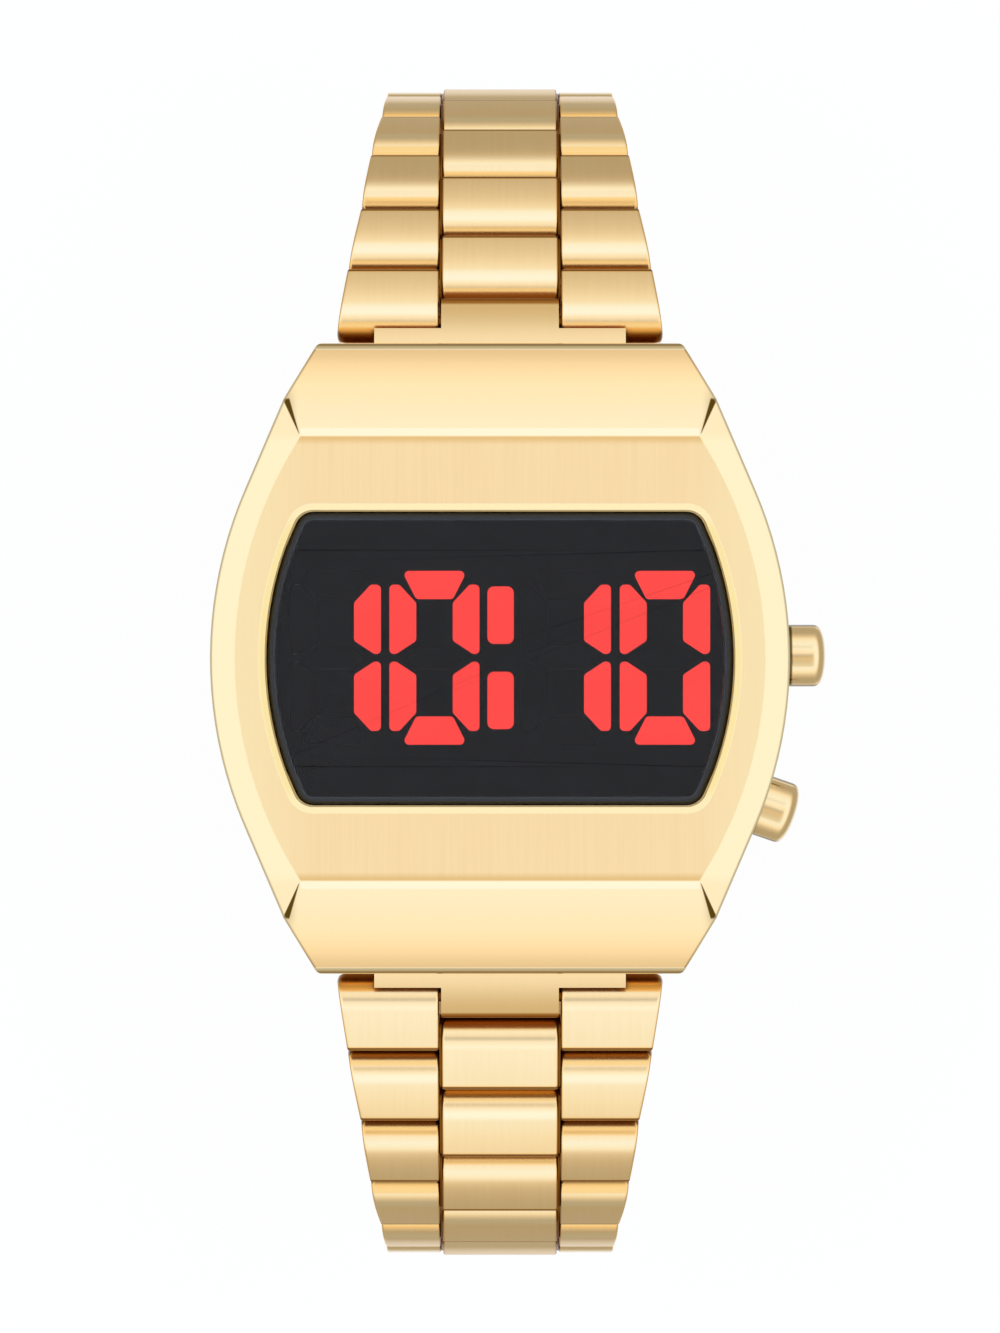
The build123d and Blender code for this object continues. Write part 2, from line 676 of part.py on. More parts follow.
def direction(end, slope):
    """Unit vector along a row that slopes down from the case by this angle."""
    return Vector(0, end * cos(radians(slope)), -sin(radians(slope)))


def row_plane(end, slope, pivot):
    """Plane with x along the row, y out of the wrist and its normal across the row."""
    return Plane(origin=pivot, x_dir=direction(end, slope), z_dir=(end, 0, 0))


def pivots(end, slopes):
    """Hinge points of one half of the bracelet, from the case to the clasp."""
    points = [Vector(0, end * first_pivot_y, first_pivot_z)]
    for slope in slopes:
        points.append(points[-1] + direction(end, slope) * pitch)
    return points


def link_profile(plane, start, stop):
    """Side view of a link block, with its inner corner cut away so that the row can bend."""
    with BuildSketch(plane) as profile:
        Polygon(
            (start, half_link),
            (stop, half_link),
            (stop, -half_link),
            (start + relief_length, -half_link),
            (start, relief_start),
            align=None,
        )
        outer = profile.vertices().group_by(Axis.Y)[-1].sort_by(Axis.X)
        fillet(outer[0], round_case)
        outer = profile.vertices().group_by(Axis.Y)[-1].sort_by(Axis.X)
        fillet(outer[-1], outer_round_clasp)
        fillet(profile.vertices().group_by(Axis.Y)[0], inner_round)
    return profile.sketch


def side_plan(plane, start, stop, start_width, stop_width):
    """Top view of the two side blocks, which follow the taper of the bracelet."""
    inner = centre_half + side_gap
    top = Plane(origin=plane.origin, x_dir=plane.x_dir, z_dir=plane.y_dir)
    with BuildSketch(top) as plan:
        for side in (1, -1):
            Polygon(
                (start, side * inner),
                (stop, side * inner),
                (stop, side * stop_width / 2),
                (start, side * start_width / 2),
                align=None,
            )
    return plan.sketch


def width_at(row):
    """Bracelet width at the case end of a row."""
    return row_widths[min(row, len(row_widths) - 1)]


def make_row(name, plane, row, last_upper):
    """One row: two side blocks, a centre block, the hinge pin and the cross pin."""
    start_width, stop_width = width_at(row), width_at(row + 1)
    side_stop = pitch + knuckle if last_upper else block_length - knuckle
    centre_stop = block_length - knuckle if last_upper else pitch + knuckle
    with BuildPart() as built:
        extrude(link_profile(plane, -knuckle, side_stop), amount=start_width, both=True)
        extrude(
            side_plan(plane, -knuckle, side_stop, start_width, stop_width),
            amount=link_thickness,
            both=True,
            mode=Mode.INTERSECT,
        )
        extrude(link_profile(plane, knuckle + row_gap, centre_stop), amount=centre_half, both=True)
        flanks = [face for face in built.faces() if abs(face.normal_at().X) > 0.9]
        chamfer([edge for face in flanks for edge in face.edges()], edge_break)
        for place, play in ((0, press_play), (pitch / 2, press_play), (pitch, running_play)):
            hole = Plane(origin=plane.from_local_coords(Vector(place, 0, 0)), z_dir=(1, 0, 0))
            rod(hole, -start_width, start_width, pin_radius + play, mode=Mode.SUBTRACT)
        for place, width in ((0, start_width), (pitch / 2, (start_width + stop_width) / 2)):
            axle = Plane(origin=plane.from_local_coords(Vector(place, 0, 0)), z_dir=(1, 0, 0))
            rod(axle, -width / 2 + pin_short, width / 2 - pin_short, pin_radius)
    write(built.part, name)


def make_end_link(name, end, slope):
    """Link between a spring bar and the first row: a wide neck with a lip, and a narrow tongue.

    The lip is hollowed about the hinge, so the round end of the first row turns inside it.
    """
    pivot = Vector(0, end * first_pivot_y, first_pivot_z)
    plane = row_plane(end, slope, pivot)
    bar = plane.to_local_coords(Vector(0, end * bar_y, bar_z))
    top = (bar.X, bar.Y + neck_top * neck_radius)
    low = (bar.X, bar.Y - neck_top * neck_radius)
    with BuildPart() as link:
        rod(across(end * bar_y, bar_z), -neck_half, neck_half, neck_radius)
        with BuildSketch(plane) as lip:
            with BuildLine():
                TangentArc((0, half_link), top, tangent=(-1, 0))
                Polyline(top, low, (0, lip_low), (0, half_link))
            make_face()
            Circle(lip_radius, mode=Mode.SUBTRACT)
        extrude(lip.sketch, amount=neck_half, both=True)
        with BuildSketch(plane) as tongue:
            with BuildLine():
                TangentArc((0, half_link), top, tangent=(-1, 0))
                Polyline(
                    top,
                    low,
                    (tongue_shoulder, -half_link),
                    (knuckle, -half_link),
                    (knuckle, half_link),
                    (0, half_link),
                )
            make_face()
            fillet(tongue.vertices().group_by(Axis.X)[-1], outer_round_clasp)
        extrude(tongue.sketch, amount=centre_half, both=True)
        rod(across(end * bar_y, bar_z), -neck_half, neck_half, bar_radius + running_play, mode=Mode.SUBTRACT)
        hinge = Plane(origin=pivot, z_dir=(1, 0, 0))
        rod(hinge, -centre_half, centre_half, pin_radius + running_play, mode=Mode.SUBTRACT)
    write(link.part, name)


for half, end, slopes, end_slope in (
    ("upper", 1, upper_slopes, upper_end_slope),
    ("lower", -1, lower_slopes, lower_end_slope),
):
    make_end_link(f"{half}_end_link", end, end_slope)
    hinges = pivots(end, slopes)
    for row, slope in enumerate(slopes):
        last_upper = end == 1 and row == len(slopes) - 1
        plane = row_plane(end, slope, hinges[row])
        make_row(f"{half}_row_{row + 1:02d}", plane, row, last_upper)

# Clasp, along the line between the two free ends of the bracelet
clasp_start = pivots(-1, lower_slopes)[-1]
clasp_stop = pivots(1, upper_slopes)[-1]
span = (clasp_stop - clasp_start).length
clasp_plane = Plane(origin=clasp_start, x_dir=clasp_stop - clasp_start, z_dir=(1, 0, 0))
hinge_u = span - knuckle - row_gap - ear_reach
outer_w = -half_link - cover_drop


def clasp_axis(u, w):
    """Plane on a clasp hinge whose normal runs across the clasp."""
    return Plane(origin=clasp_plane.from_local_coords(Vector(u, w, 0)), z_dir=(1, 0, 0))


def clasp_slab(corners, near, far, mode=Mode.ADD):
    """Solid with this side view in both halves of the clasp, from near to far off the middle."""
    for side in (1, -1):
        with BuildSketch(clasp_plane.offset(side * near)) as profile:
            Polygon(*corners, align=None)
        extrude(profile.sketch, amount=side * (far - near), mode=mode)


plate_stop = hinge_u - hinge_round - 0.4
inner_face = centre_half + side_gap
with BuildPart() as clasp_cover:
    plate_corners = [
        (knuckle + cover_gap, outer_w),
        (plate_stop, outer_w),
        (plate_stop, plate_top),
        (knuckle + cover_gap, plate_top),
    ]
    clasp_slab(plate_corners, 0, cover_half)
    ear_corners = [(0, outer_w), (ear_length, outer_w), (ear_length, ear_round), (0, ear_round)]
    clasp_slab(ear_corners, inner_face, cover_half)
    flange_corners = [
        (0, outer_w),
        (hinge_u, outer_w),
        (hinge_u + ear_reach, outer_w + ear_reach),
        (hinge_u + ear_reach, 0.2),
        (hinge_u, flange_top),
        (0, flange_top),
    ]
    clasp_slab(flange_corners, cover_half - flange_wall, cover_half)
    for side in (1, -1):
        near, far = sorted((side * inner_face, side * cover_half))
        rod(clasp_axis(0, 0), near, far, ear_round)
    long_edges = clasp_cover.edges().filter_by(Axis.Y).group_by(Axis.Z)[0]
    fillet([edge for edge in long_edges if abs(edge.center().X) > cover_half - 0.1], clasp_edge_round)
    rod(clasp_axis(0, 0), -cover_half, cover_half, bar_tip_radius + press_play, mode=Mode.SUBTRACT)
    bar_end = cover_half - flange_wall
    rod(clasp_axis(0, 0), -bar_end, bar_end, pin_radius + press_play, mode=Mode.SUBTRACT)
    cover_hinge = clasp_axis(hinge_u, cover_hinge_w)
    rod(cover_hinge, -cover_half, cover_half, blade_pin_radius + press_play, mode=Mode.SUBTRACT)
write(clasp_cover.part, "clasp_cover")
with BuildPart() as cover_spring_bar:
    tube_half = bar_end - 0.1
    ring(clasp_axis(0, 0), -tube_half, tube_half, pin_radius, cover_tip_radius + press_play)
    for side in (1, -1):
        tip = (side * (tube_half - bar_tip_inset), side * (tube_half + cover_tip_out))
        rod(clasp_axis(0, 0), *tip, cover_tip_radius)
write(cover_spring_bar.part, "cover_spring_bar")
with BuildPart() as blade_hinge_pin:
    pin_reach = cover_half - pin_short
    rod(cover_hinge, -pin_reach, pin_reach, blade_pin_radius)
write(blade_hinge_pin.part, "blade_hinge_pin")

fold_hinge = clasp_axis(fold_u, fold_w)
with BuildPart() as middle_blade:
    blade_corners = [
        (fold_u + 1.2, middle_low),
        (hinge_u, middle_low),
        (hinge_u, middle_high),
        (fold_u + 1.2, middle_high),
    ]
    clasp_slab(blade_corners, 0, middle_half)
    fold_corners = [
        (fold_u, fold_w - hinge_round),
        (fold_u + 1.3, middle_low),
        (fold_u + 1.3, middle_high),
        (fold_u, middle_high),
    ]
    clasp_slab(fold_corners, 0, fold_split)
    rod(fold_hinge, -fold_split, fold_split, hinge_round)
    rod(cover_hinge, -middle_half, middle_half, hinge_round)
    rod(cover_hinge, -middle_half, middle_half, blade_pin_radius + running_play, mode=Mode.SUBTRACT)
    rod(fold_hinge, -fold_split, fold_split, blade_pin_radius + running_play, mode=Mode.SUBTRACT)
write(middle_blade.part, "middle_blade")
with BuildPart() as fold_hinge_pin:
    rod(fold_hinge, -bottom_half + pin_short, bottom_half - pin_short, blade_pin_radius)
write(fold_hinge_pin.part, "fold_hinge_pin")
with BuildPart() as bottom_blade:
    arm_start = hinge_u - 2.5
    blade_corners = [
        (fold_u, bottom_low),
        (arm_start, bottom_low),
        (arm_start, bottom_high),
        (fold_u, bottom_high - 0.15),
    ]
    clasp_slab(blade_corners, 0, bottom_half)
    arm_corners = [
        (arm_start, bottom_low),
        (span - 1.0, bottom_low),
        (span, 0),
        (span + 0.3, knuckle_round - 0.05),
        (span - 0.3, bottom_high),
        (arm_start, bottom_high),
    ]
    clasp_slab(arm_corners, 0, knuckle_half)
    for side in (1, -1):
        near, far = sorted((side * (fold_split + side_gap), side * bottom_half))
        rod(fold_hinge, near, far, hinge_round)
    clear = fold_split + side_gap
    clasp_slab(
        [(fold_u - 1, -1), (fold_u + 1.35, -1), (fold_u + 1.35, 3), (fold_u - 1, 3)], 0, clear, Mode.SUBTRACT
    )
    end_knuckle = clasp_axis(span, 0)
    rod(end_knuckle, -knuckle_half, knuckle_half, knuckle_round)
    rod(fold_hinge, -bottom_half, bottom_half, blade_pin_radius + press_play, mode=Mode.SUBTRACT)
    rod(end_knuckle, -knuckle_half, knuckle_half, bar_radius + press_play, mode=Mode.SUBTRACT)
write(bottom_blade.part, "bottom_blade")
with BuildPart() as knuckle_spring_bar:
    spring_bar(end_knuckle, knuckle_half - 0.1, inner_face - tip_standoff)
write(knuckle_spring_bar.part, "knuckle_spring_bar")
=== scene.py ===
"""Looks of a light-emitting-diode wristwatch on its jointed bracelet.

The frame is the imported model's: +X to 3 o'clock, +Y to 12 o'clock, +Z out of the dial,
in metres. The sizes in the classes are in millimetres, and MM turns them into metres.
"""

import json
import logging
import math
from dataclasses import dataclass
from enum import Enum
from typing import Any, Sequence

import bmesh
import bpy
import numpy as np
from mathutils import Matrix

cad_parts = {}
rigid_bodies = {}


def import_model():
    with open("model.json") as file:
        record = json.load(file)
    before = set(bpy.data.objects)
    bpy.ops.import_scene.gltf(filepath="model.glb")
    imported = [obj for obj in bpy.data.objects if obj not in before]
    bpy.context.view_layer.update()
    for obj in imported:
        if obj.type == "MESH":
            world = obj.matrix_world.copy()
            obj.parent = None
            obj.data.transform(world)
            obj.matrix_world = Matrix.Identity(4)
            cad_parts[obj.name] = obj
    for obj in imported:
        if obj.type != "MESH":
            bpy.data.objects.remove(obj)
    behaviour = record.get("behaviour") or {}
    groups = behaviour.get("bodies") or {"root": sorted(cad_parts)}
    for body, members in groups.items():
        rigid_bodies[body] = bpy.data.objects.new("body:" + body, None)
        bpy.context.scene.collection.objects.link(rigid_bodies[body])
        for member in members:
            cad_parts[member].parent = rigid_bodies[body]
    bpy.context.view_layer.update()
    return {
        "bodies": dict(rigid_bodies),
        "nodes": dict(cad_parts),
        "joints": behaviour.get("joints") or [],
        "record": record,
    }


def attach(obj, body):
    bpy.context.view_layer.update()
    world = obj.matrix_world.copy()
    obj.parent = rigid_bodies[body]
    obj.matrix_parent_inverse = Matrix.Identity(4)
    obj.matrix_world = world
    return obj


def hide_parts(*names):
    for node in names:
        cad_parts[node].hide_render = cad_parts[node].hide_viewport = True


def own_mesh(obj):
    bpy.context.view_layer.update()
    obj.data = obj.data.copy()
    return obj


MM = 0.001
SHARP_ANGLE = math.radians(50)
Array = np.ndarray
Pair = tuple[float, float]
Triple = tuple[float, float, float]
Colour = Triple
Material = bpy.types.Material
log = logging.getLogger("watch")


class Half(Enum):
    """The two halves of the bracelet, with the sign of Y on their side."""

    UPPER = 1
    LOWER = -1

    @property
    def word(self) -> str:
        """Prefix of the nodes and bodies of this half."""
        return self.name.lower()


class Grain(Enum):
    """Which way a metal is brushed: its lines in a millimetre along X, Y and Z."""

    ALONG = (3.2, 0.08, 0.08)
    ACROSS = (0.08, 3.2, 3.2)
    NONE = (0.5, 0.5, 0.5)


class Signal:
    """One value in a material; its operators add Math nodes."""

    def __init__(self, graph: "Graph", socket: bpy.types.NodeSocket) -> None:
        """Keeps the graph and the socket that carries the value."""
        self.graph = graph
        self.socket = socket

    def combine(self, operation: str, *values: Any) -> "Signal":
        """Adds one Math node.

        Args:
            operation: The node's operation.
            *values: Its inputs, numbers or signals, in order.

        Returns:
            The node's result.
        """
        sockets = dict(enumerate(values))
        made = self.graph.node("ShaderNodeMath", {"operation": operation}, sockets)
        return Signal(self.graph, made.outputs[0])

    def __add__(self, other: Any) -> "Signal":
        """Sum."""
        return self.combine("ADD", self, other)

    __radd__ = __add__

    def __sub__(self, other: Any) -> "Signal":
        """Difference."""
        return self.combine("SUBTRACT", self, other)

    def __rsub__(self, other: Any) -> "Signal":
        """Difference from a number."""
        return self.combine("SUBTRACT", other, self)

    def __mul__(self, other: Any) -> "Signal":
        """Product."""
        return self.combine("MULTIPLY", self, other)

    __rmul__ = __mul__

    def __abs__(self) -> "Signal":
        """Size without the sign."""
        return self.combine("ABSOLUTE", self)

    def larger(self, other: Any) -> "Signal":
        """The larger of the two."""
        return self.combine("MAXIMUM", self, other)

    def ramp(self, low: float, high: float) -> "Signal":
        """0 below low, 1 above high and smooth between; low may be the larger one."""
        settings = {"interpolation_type": "SMOOTHSTEP"}
        sockets = {0: self, 1: low, 2: high, 3: 0.0, 4: 1.0}
        made = self.graph.node("ShaderNodeMapRange", settings, sockets)
        return Signal(self.graph, made.outputs[0])


class Graph:
    """The node tree of one material or of the world."""

    def __init__(self, owner: Material | bpy.types.World) -> None:
        """Empties the owner's node tree."""
        self.owner = owner
        owner.use_nodes = True
        self.tree = owner.node_tree
        self.tree.nodes.clear()

    @classmethod
    def material(cls, name: str) -> "Graph":
        """Graph of a new material of this name."""
        return cls(bpy.data.materials.new(name))

    def node(self, kind: str, settings: dict[str, Any], sockets: dict[Any, Any]) -> bpy.types.Node:
        """Adds one node.

        Args:
            kind: The node's type.
            settings: Its properties, set before its sockets. "stops" fills a colour ramp.
            sockets: A number, colour, signal or socket for each input, by name or place.

        Returns:
            The node.
        """
        made = self.tree.nodes.new(kind)
        for key, value in settings.items():
            if key == "stops":
                self.fill(made.color_ramp, value)
            else:
                setattr(made, key, value)
        for key, value in sockets.items():
            if isinstance(value, Signal):
                value = value.socket
            if isinstance(value, bpy.types.NodeSocket):
                self.tree.links.new(value, made.inputs[key])
            elif isinstance(value, tuple) and len(value) == 3 and made.inputs[key].type == "RGBA":
                made.inputs[key].default_value = (*value, 1.0)
            else:
                made.inputs[key].default_value = value
        return made

    def fill(self, ramp: bpy.types.ColorRamp, stops: Sequence[tuple[float, Colour]]) -> None:
        """Gives a colour ramp these stops, each a place and a colour."""
        while len(ramp.elements) < len(stops):
            ramp.elements.new(1.0)
        for element, (position, colour) in zip(ramp.elements, stops):
            element.position = position
            element.color = (*colour, 1.0)

    def place(self) -> tuple[Signal, Signal, Signal]:
        """X, Y and Z of the shaded point, in millimetres."""
        where = self.node("ShaderNodeTexCoord", {}, {}).outputs["Object"]
        scaled = self.node("ShaderNodeVectorMath", {"operation": "SCALE"}, {0: where, "Scale": 1 / MM})
        parts = self.node("ShaderNodeSeparateXYZ", {}, {0: scaled.outputs[0]})
        return tuple(Signal(self, socket) for socket in parts.outputs)

    def facing_up(self) -> Signal:
        """Z of the surface's normal."""
        normal = self.node("ShaderNodeNewGeometry", {}, {}).outputs["Normal"]
        return Signal(self, self.node("ShaderNodeSeparateXYZ", {}, {0: normal}).outputs[2])

    def noise(self, lines: Triple, detail: float = 2.0) -> Signal:
        """Noise from 0 to 1 with this many features a millimetre along X, Y and Z."""
        where = self.node("ShaderNodeTexCoord", {}, {}).outputs["Object"]
        scale = tuple(value / MM for value in lines)
        turned = self.node("ShaderNodeMapping", {}, {"Vector": where, "Scale": scale})
        sockets = {"Vector": turned.outputs[0], "Scale": 1.0, "Detail": detail, "Roughness": 0.6}
        made = self.node("ShaderNodeTexNoise", {"noise_dimensions": "3D"}, sockets)
        return Signal(self, made.outputs["Fac"])

    def attribute(self, name: str) -> Signal:
        """A value that the piece's mesh carries at each vertex."""
        made = self.node("ShaderNodeAttribute", {"attribute_name": name}, {})
        return Signal(self, made.outputs["Fac"])

    def blend(self, share: Signal, first: Any, second: Any) -> bpy.types.NodeSocket:
        """Colour between first, at 0, and second, at 1."""
        made = self.node("ShaderNodeMix", {"data_type": "RGBA"}, {0: share, 6: first, 7: second})
        return made.outputs[2]

    def relief(self, height: Signal, depth_mm: float) -> bpy.types.NodeSocket:
        """Normal of a surface raised by height times this depth."""
        sockets = {"Strength": 1.0, "Distance": depth_mm * MM, "Height": height}
        return self.node("ShaderNodeBump", {}, sockets).outputs[0]

    def surface(self, sockets: dict[str, Any]) -> Material:
        """Ends the tree with one shader whose sockets are given, and returns the material."""
        shader = self.node("ShaderNodeBsdfPrincipled", {}, sockets)
        self.node("ShaderNodeOutputMaterial", {}, {"Surface": shader.outputs[0]})
        return self.owner


@dataclass(frozen=True)
class BrushedFinish:
    """What the brushed finishes share.

    Attributes:
        name: The material's name.
        pale: Colour on the crests of the brushing, and of polished metal.
        deep: Colour in its lines.
    """

    name: str
    pale: Colour
    deep: Colour


@dataclass(frozen=True)
class MetalFinish(BrushedFinish):
    """Brushed or polished metal; groove_mm is the depth of its lines."""

    roughness: float
    grain: Grain = Grain.ALONG
    groove_mm: float = 0.0006

    def material(self) -> Material:
        """Makes the material."""
        graph = Graph.material(self.name)
        lines = graph.noise(self.grain.value)
        clouds = graph.noise((0.11, 0.11, 0.11))
        wiped = (lines * 0.7 + clouds * 0.3).ramp(0.36, 0.64)
        spread = 0.05 if self.grain is Grain.NONE else 0.09
        sockets = {
            "Base Color": graph.blend(wiped, self.deep, self.pale),
            "Metallic": 1.0,
            "Roughness": (lines + clouds - 1.0) * spread + self.roughness,
        }
        if self.grain is not Grain.NONE:
            sockets["Normal"] = graph.relief(lines, self.groove_mm)
        return graph.surface(sockets)


@dataclass(frozen=True)
class CaseFinish(BrushedFinish):
    """Gold case, brushed on its flat face and polished everywhere else; painted light and shade.

    Attributes:
        seam: Colour of the painted shade on the face right beside a hood.
        flank_side: Colour of the face towards its flanks, a painted highlight.
        side: Colour of the bevels beside the face, a painted highlight.
        ring: Colour of the narrow bevel round the window, a painted reflection.
        lip: Colour of the narrow bevel where a hood begins, a painted highlight.
        edge: Colour of the painted shade along the outline and in the shaded corners of the hoods.
        step: Colour of the painted shade in the step beside each corner of a hood.
        brushed: Roughness of the face.
        polished: Roughness of the rest.
        face_z: Height of the face.
        hood_y: Where a hood begins.
        hood_x: Half its width there.
        end_y: Where it ends.
        seam_width: How far the painted shade beside a hood fades into the face.
        end_round: Width of the rounded end of a hood.
        flank: Radius of the round flanks, half the width of the case, and their end.
        sides: Normal and distance of each straight side of the outline.
    """

    seam: Colour
    flank_side: Colour
    side: Colour
    ring: Colour
    lip: Colour
    edge: Colour
    step: Colour
    brushed: float
    polished: float
    face_z: float = 10.2
    hood_y: float = 14.95
    hood_x: float = 13.45
    end_y: float = 21.37
    seam_width: float = 0.65
    end_round: float = 0.42
    flank: Triple = (28.83, 19.55, 11.4)
    sides: tuple[Triple, ...] = ((0.92, 0.392, 20.29), (0.8646, 0.5027, 21.42))

    def outline_distance(self, across: Signal, along: Signal) -> Signal:
        """Signed distance from the case's outline, below 0 inside it.

        It is the largest of the distance from the round flank, sqrt((x - c)**2 + y**2) - r
        with c = half width - r, which counts only as far as the flank reaches, from each
        straight side, n.x * x + n.y * y - d, and from the end.
        """
        radius, half_width, flank_end = self.flank
        from_centre = across - (half_width - radius)
        squares = from_centre * from_centre + along * along
        past_flank = along.ramp(flank_end, flank_end + 0.1) * radius
        distance = squares.combine("POWER", squares, 0.5) - radius - past_flank
        for right, up, reach in self.sides:
            distance = distance.larger(across * right + along * up - reach)
        return distance.larger(along - self.end_y)

    def material(self) -> Material:
        """Makes the material; the flat face is told from the rest by its height.

        Each mask is a product of ramps over millimetres. across and along count from the
        middle of the face, beside and beyond from the corner where a hood begins. step and
        shaded each lie between two lines that rise from that corner. The masks paint
        highlights, reflections and shade into the gold.
        """
        graph = Graph.material(self.name)
        x, y, height = graph.place()
        across, along, up = abs(x), abs(y), graph.facing_up().ramp(0.35, 0.6)
        beyond, beside = along - self.hood_y, across - self.hood_x
        on_face = height.ramp(self.face_z - 0.03, self.face_z - 0.005)
        off_face = 1 - on_face
        lines = graph.noise((4.5, 0.10, 0.10), 3.0)
        fine = graph.noise((9.0, 0.25, 0.25), 2.0)
        clouds = graph.noise((0.16, 0.07, 0.1))
        wiped = (lines * 0.6 + fine * 0.25 + clouds * 0.15).ramp(0.34, 0.66)
        # Where the painted highlights, reflections and shade lie:
        near_hood = along.ramp(self.hood_y - self.seam_width, self.hood_y - 0.05)
        lip = beyond.ramp(-0.02, 0.02) * beyond.ramp(0.62, 0.5) * beside.ramp(0.05, -0.05)
        bevel = beyond.ramp(0.5, -0.5) * height.ramp(self.face_z - 4, self.face_z - 3)
        ring = (across + along * 0.25).ramp(17.3, 17.0) * along.ramp(11.2, 10.9)
        ring_share = 1 - along.ramp(8.5, 9.8) * 0.5
        shaded = (beside - beyond * 0.05).ramp(-0.02, 0.9) * (beside - beyond * 0.33).ramp(0.06, 0.0)
        shaded_reach = beyond.ramp(0.1, 0.4) * beyond.ramp(4.0, 2.0)
        step = (beside - beyond * 0.29).ramp(-0.04, 0.05) * (beside - beyond * 0.47).ramp(0.05, -0.03)
        step_reach = beyond.ramp(0.05, 0.3) * beyond.ramp(2.7, 2.5)
        round_start = self.end_y - self.end_round
        rim = self.outline_distance(across, along).ramp(-0.2, -0.06)
        rim = rim.larger((along - round_start).ramp(-0.05, 0.07))
        gold = graph.blend(wiped * on_face + off_face * 0.8, self.deep, self.pale)
        for mask, colour in (
            # Painted highlight: the face is lighter towards its flanks.
            (across.ramp(12.0, 17.0) * on_face, self.flank_side),
            # Painted highlight on the narrow bevel where a hood begins.
            (lip * up, self.lip),
            # Painted highlight on the bevels beside the face.
            (bevel * off_face * 0.7, self.side),
            # Painted reflection on the bevel round the window.
            (ring * off_face * ring_share, self.ring),
            # Painted shade in the corners of the hoods.
            (shaded * shaded_reach * 0.6, self.edge),
            # Painted shade in the step beside each corner of a hood.
            (step * step_reach, self.step),
            # Painted shade along the outline and the rounded end of each hood.
            (rim * up * 0.85, self.edge),
            # Painted shade on the face right beside each hood.
            (near_hood * on_face, self.seam),
        ):
            gold = graph.blend(mask, gold, colour)
        rougher = lines * 0.06 + (self.brushed - self.polished - 0.03)
        return graph.surface({
            "Base Color": gold,
            "Metallic": 1.0,
            "Roughness": on_face * rougher + clouds * 0.02 + self.polished,
            "Normal": graph.relief((lines * 0.6 + fine * 0.4) * on_face, 0.0002),
        })


@dataclass(frozen=True)
class LinkFinish(BrushedFinish):
    """Satin gold of the blocks and buttons: polished on each crest, with a painted highlight there, and
    with painted reflection and shade beside each joint.

    Attributes:
        crest: Colour of a block's polished crest, a painted highlight.
        amber: Colour of the painted reflection where a block turns down to its joint.
        joint: Colour of the painted shade deep in a joint and between two columns.
        satin: Roughness of the brushed gold.
        polished: Roughness on the crest.
    """

    crest: Colour
    amber: Colour
    joint: Colour
    satin: float
    polished: float

    def material(self) -> Material:
        """Makes the material from each vertex's crest tone, polish and painted highlight, and joint tone,
        painted reflection and shade.
        """
        graph = Graph.material(self.name)
        lines = graph.noise((4.0, 0.16, 0.16), 3.0)
        clouds = graph.noise((0.3, 0.2, 0.2))
        wiped = (lines * 0.75 + clouds * 0.25).ramp(0.34, 0.66)
        crest = graph.attribute("crest")
        joint = graph.attribute("joint")
        # Painted highlight: the crest is paler.
        top = graph.blend(crest, graph.blend(wiped, self.deep, self.pale), self.crest)
        # Painted reflection where a block turns down to its joint.
        turned = graph.blend(joint.ramp(0.0, 0.5), top, self.amber)
        return graph.surface({
            # Painted shade deep in each joint and between the columns.
            "Base Color": graph.blend(joint.ramp(0.5, 1.0), turned, self.joint),
            "Metallic": 1.0,
            "Roughness": (lines + clouds - 1.0) * 0.04 + crest * (self.polished - self.satin) + self.satin,
            "Normal": graph.relief(lines, 0.00015),
        })


@dataclass(frozen=True)
class TongueFinish(BrushedFinish):
    """Polished gold of an end link with painted shade, from pale beside the case to deep at the first row.

    Attributes:
        dark: Colour of the painted shade right at the joint.
        near: Distance from the middle of the watch where the pale part ends.
        far: Distance where the deep part begins.
        joint: Distance of the joint.
        roughness: Its roughness.
    """

    dark: Colour
    near: float
    far: float
    joint: float
    roughness: float

    def material(self) -> Material:
        """Makes the material; the painted shade goes by the distance along the watch."""
        graph = Graph.material(self.name)
        _, along, _ = graph.place()
        lines = graph.noise((4.0, 0.16, 0.16), 3.0)
        reach = abs(along)
        # Painted shade: pale beside the case, deeper towards the first row.
        gold = graph.blend(reach.ramp(self.near, self.far) * 0.94 + lines * 0.06, self.pale, self.deep)
        return graph.surface({
            # Painted shade, darkest right at the joint.
            "Base Color": graph.blend(reach.ramp(self.joint - 0.2, self.joint), gold, self.dark),
            "Metallic": 1.0,
            "Roughness": lines * 0.04 + self.roughness,
            "Normal": graph.relief(lines, 0.0003),
        })


@dataclass(frozen=True)
class PlasticFinish:
    """Moulded or coated piece that isn't metal."""

    name: str
    colour: Colour
    roughness: float
    mottle: float = 0.12
    lines_per_mm: float = 1.5
    shine: float = 0.5

    def material(self) -> Material:
        """Makes the material, with a fine mottle and a fine grain."""
        graph = Graph.material(self.name)
        grain = graph.noise((self.lines_per_mm,) * 3, 4.0)
        darker = tuple(value * (1 - self.mottle) for value in self.colour)
        return graph.surface({
            "Base Color": graph.blend(grain.ramp(0.3, 0.7), darker, self.colour),
            "Roughness": (grain - 0.5) * 0.15 + self.roughness,
            "Specular IOR Level": self.shine,
            "Normal": graph.relief(grain, 0.001),
        })


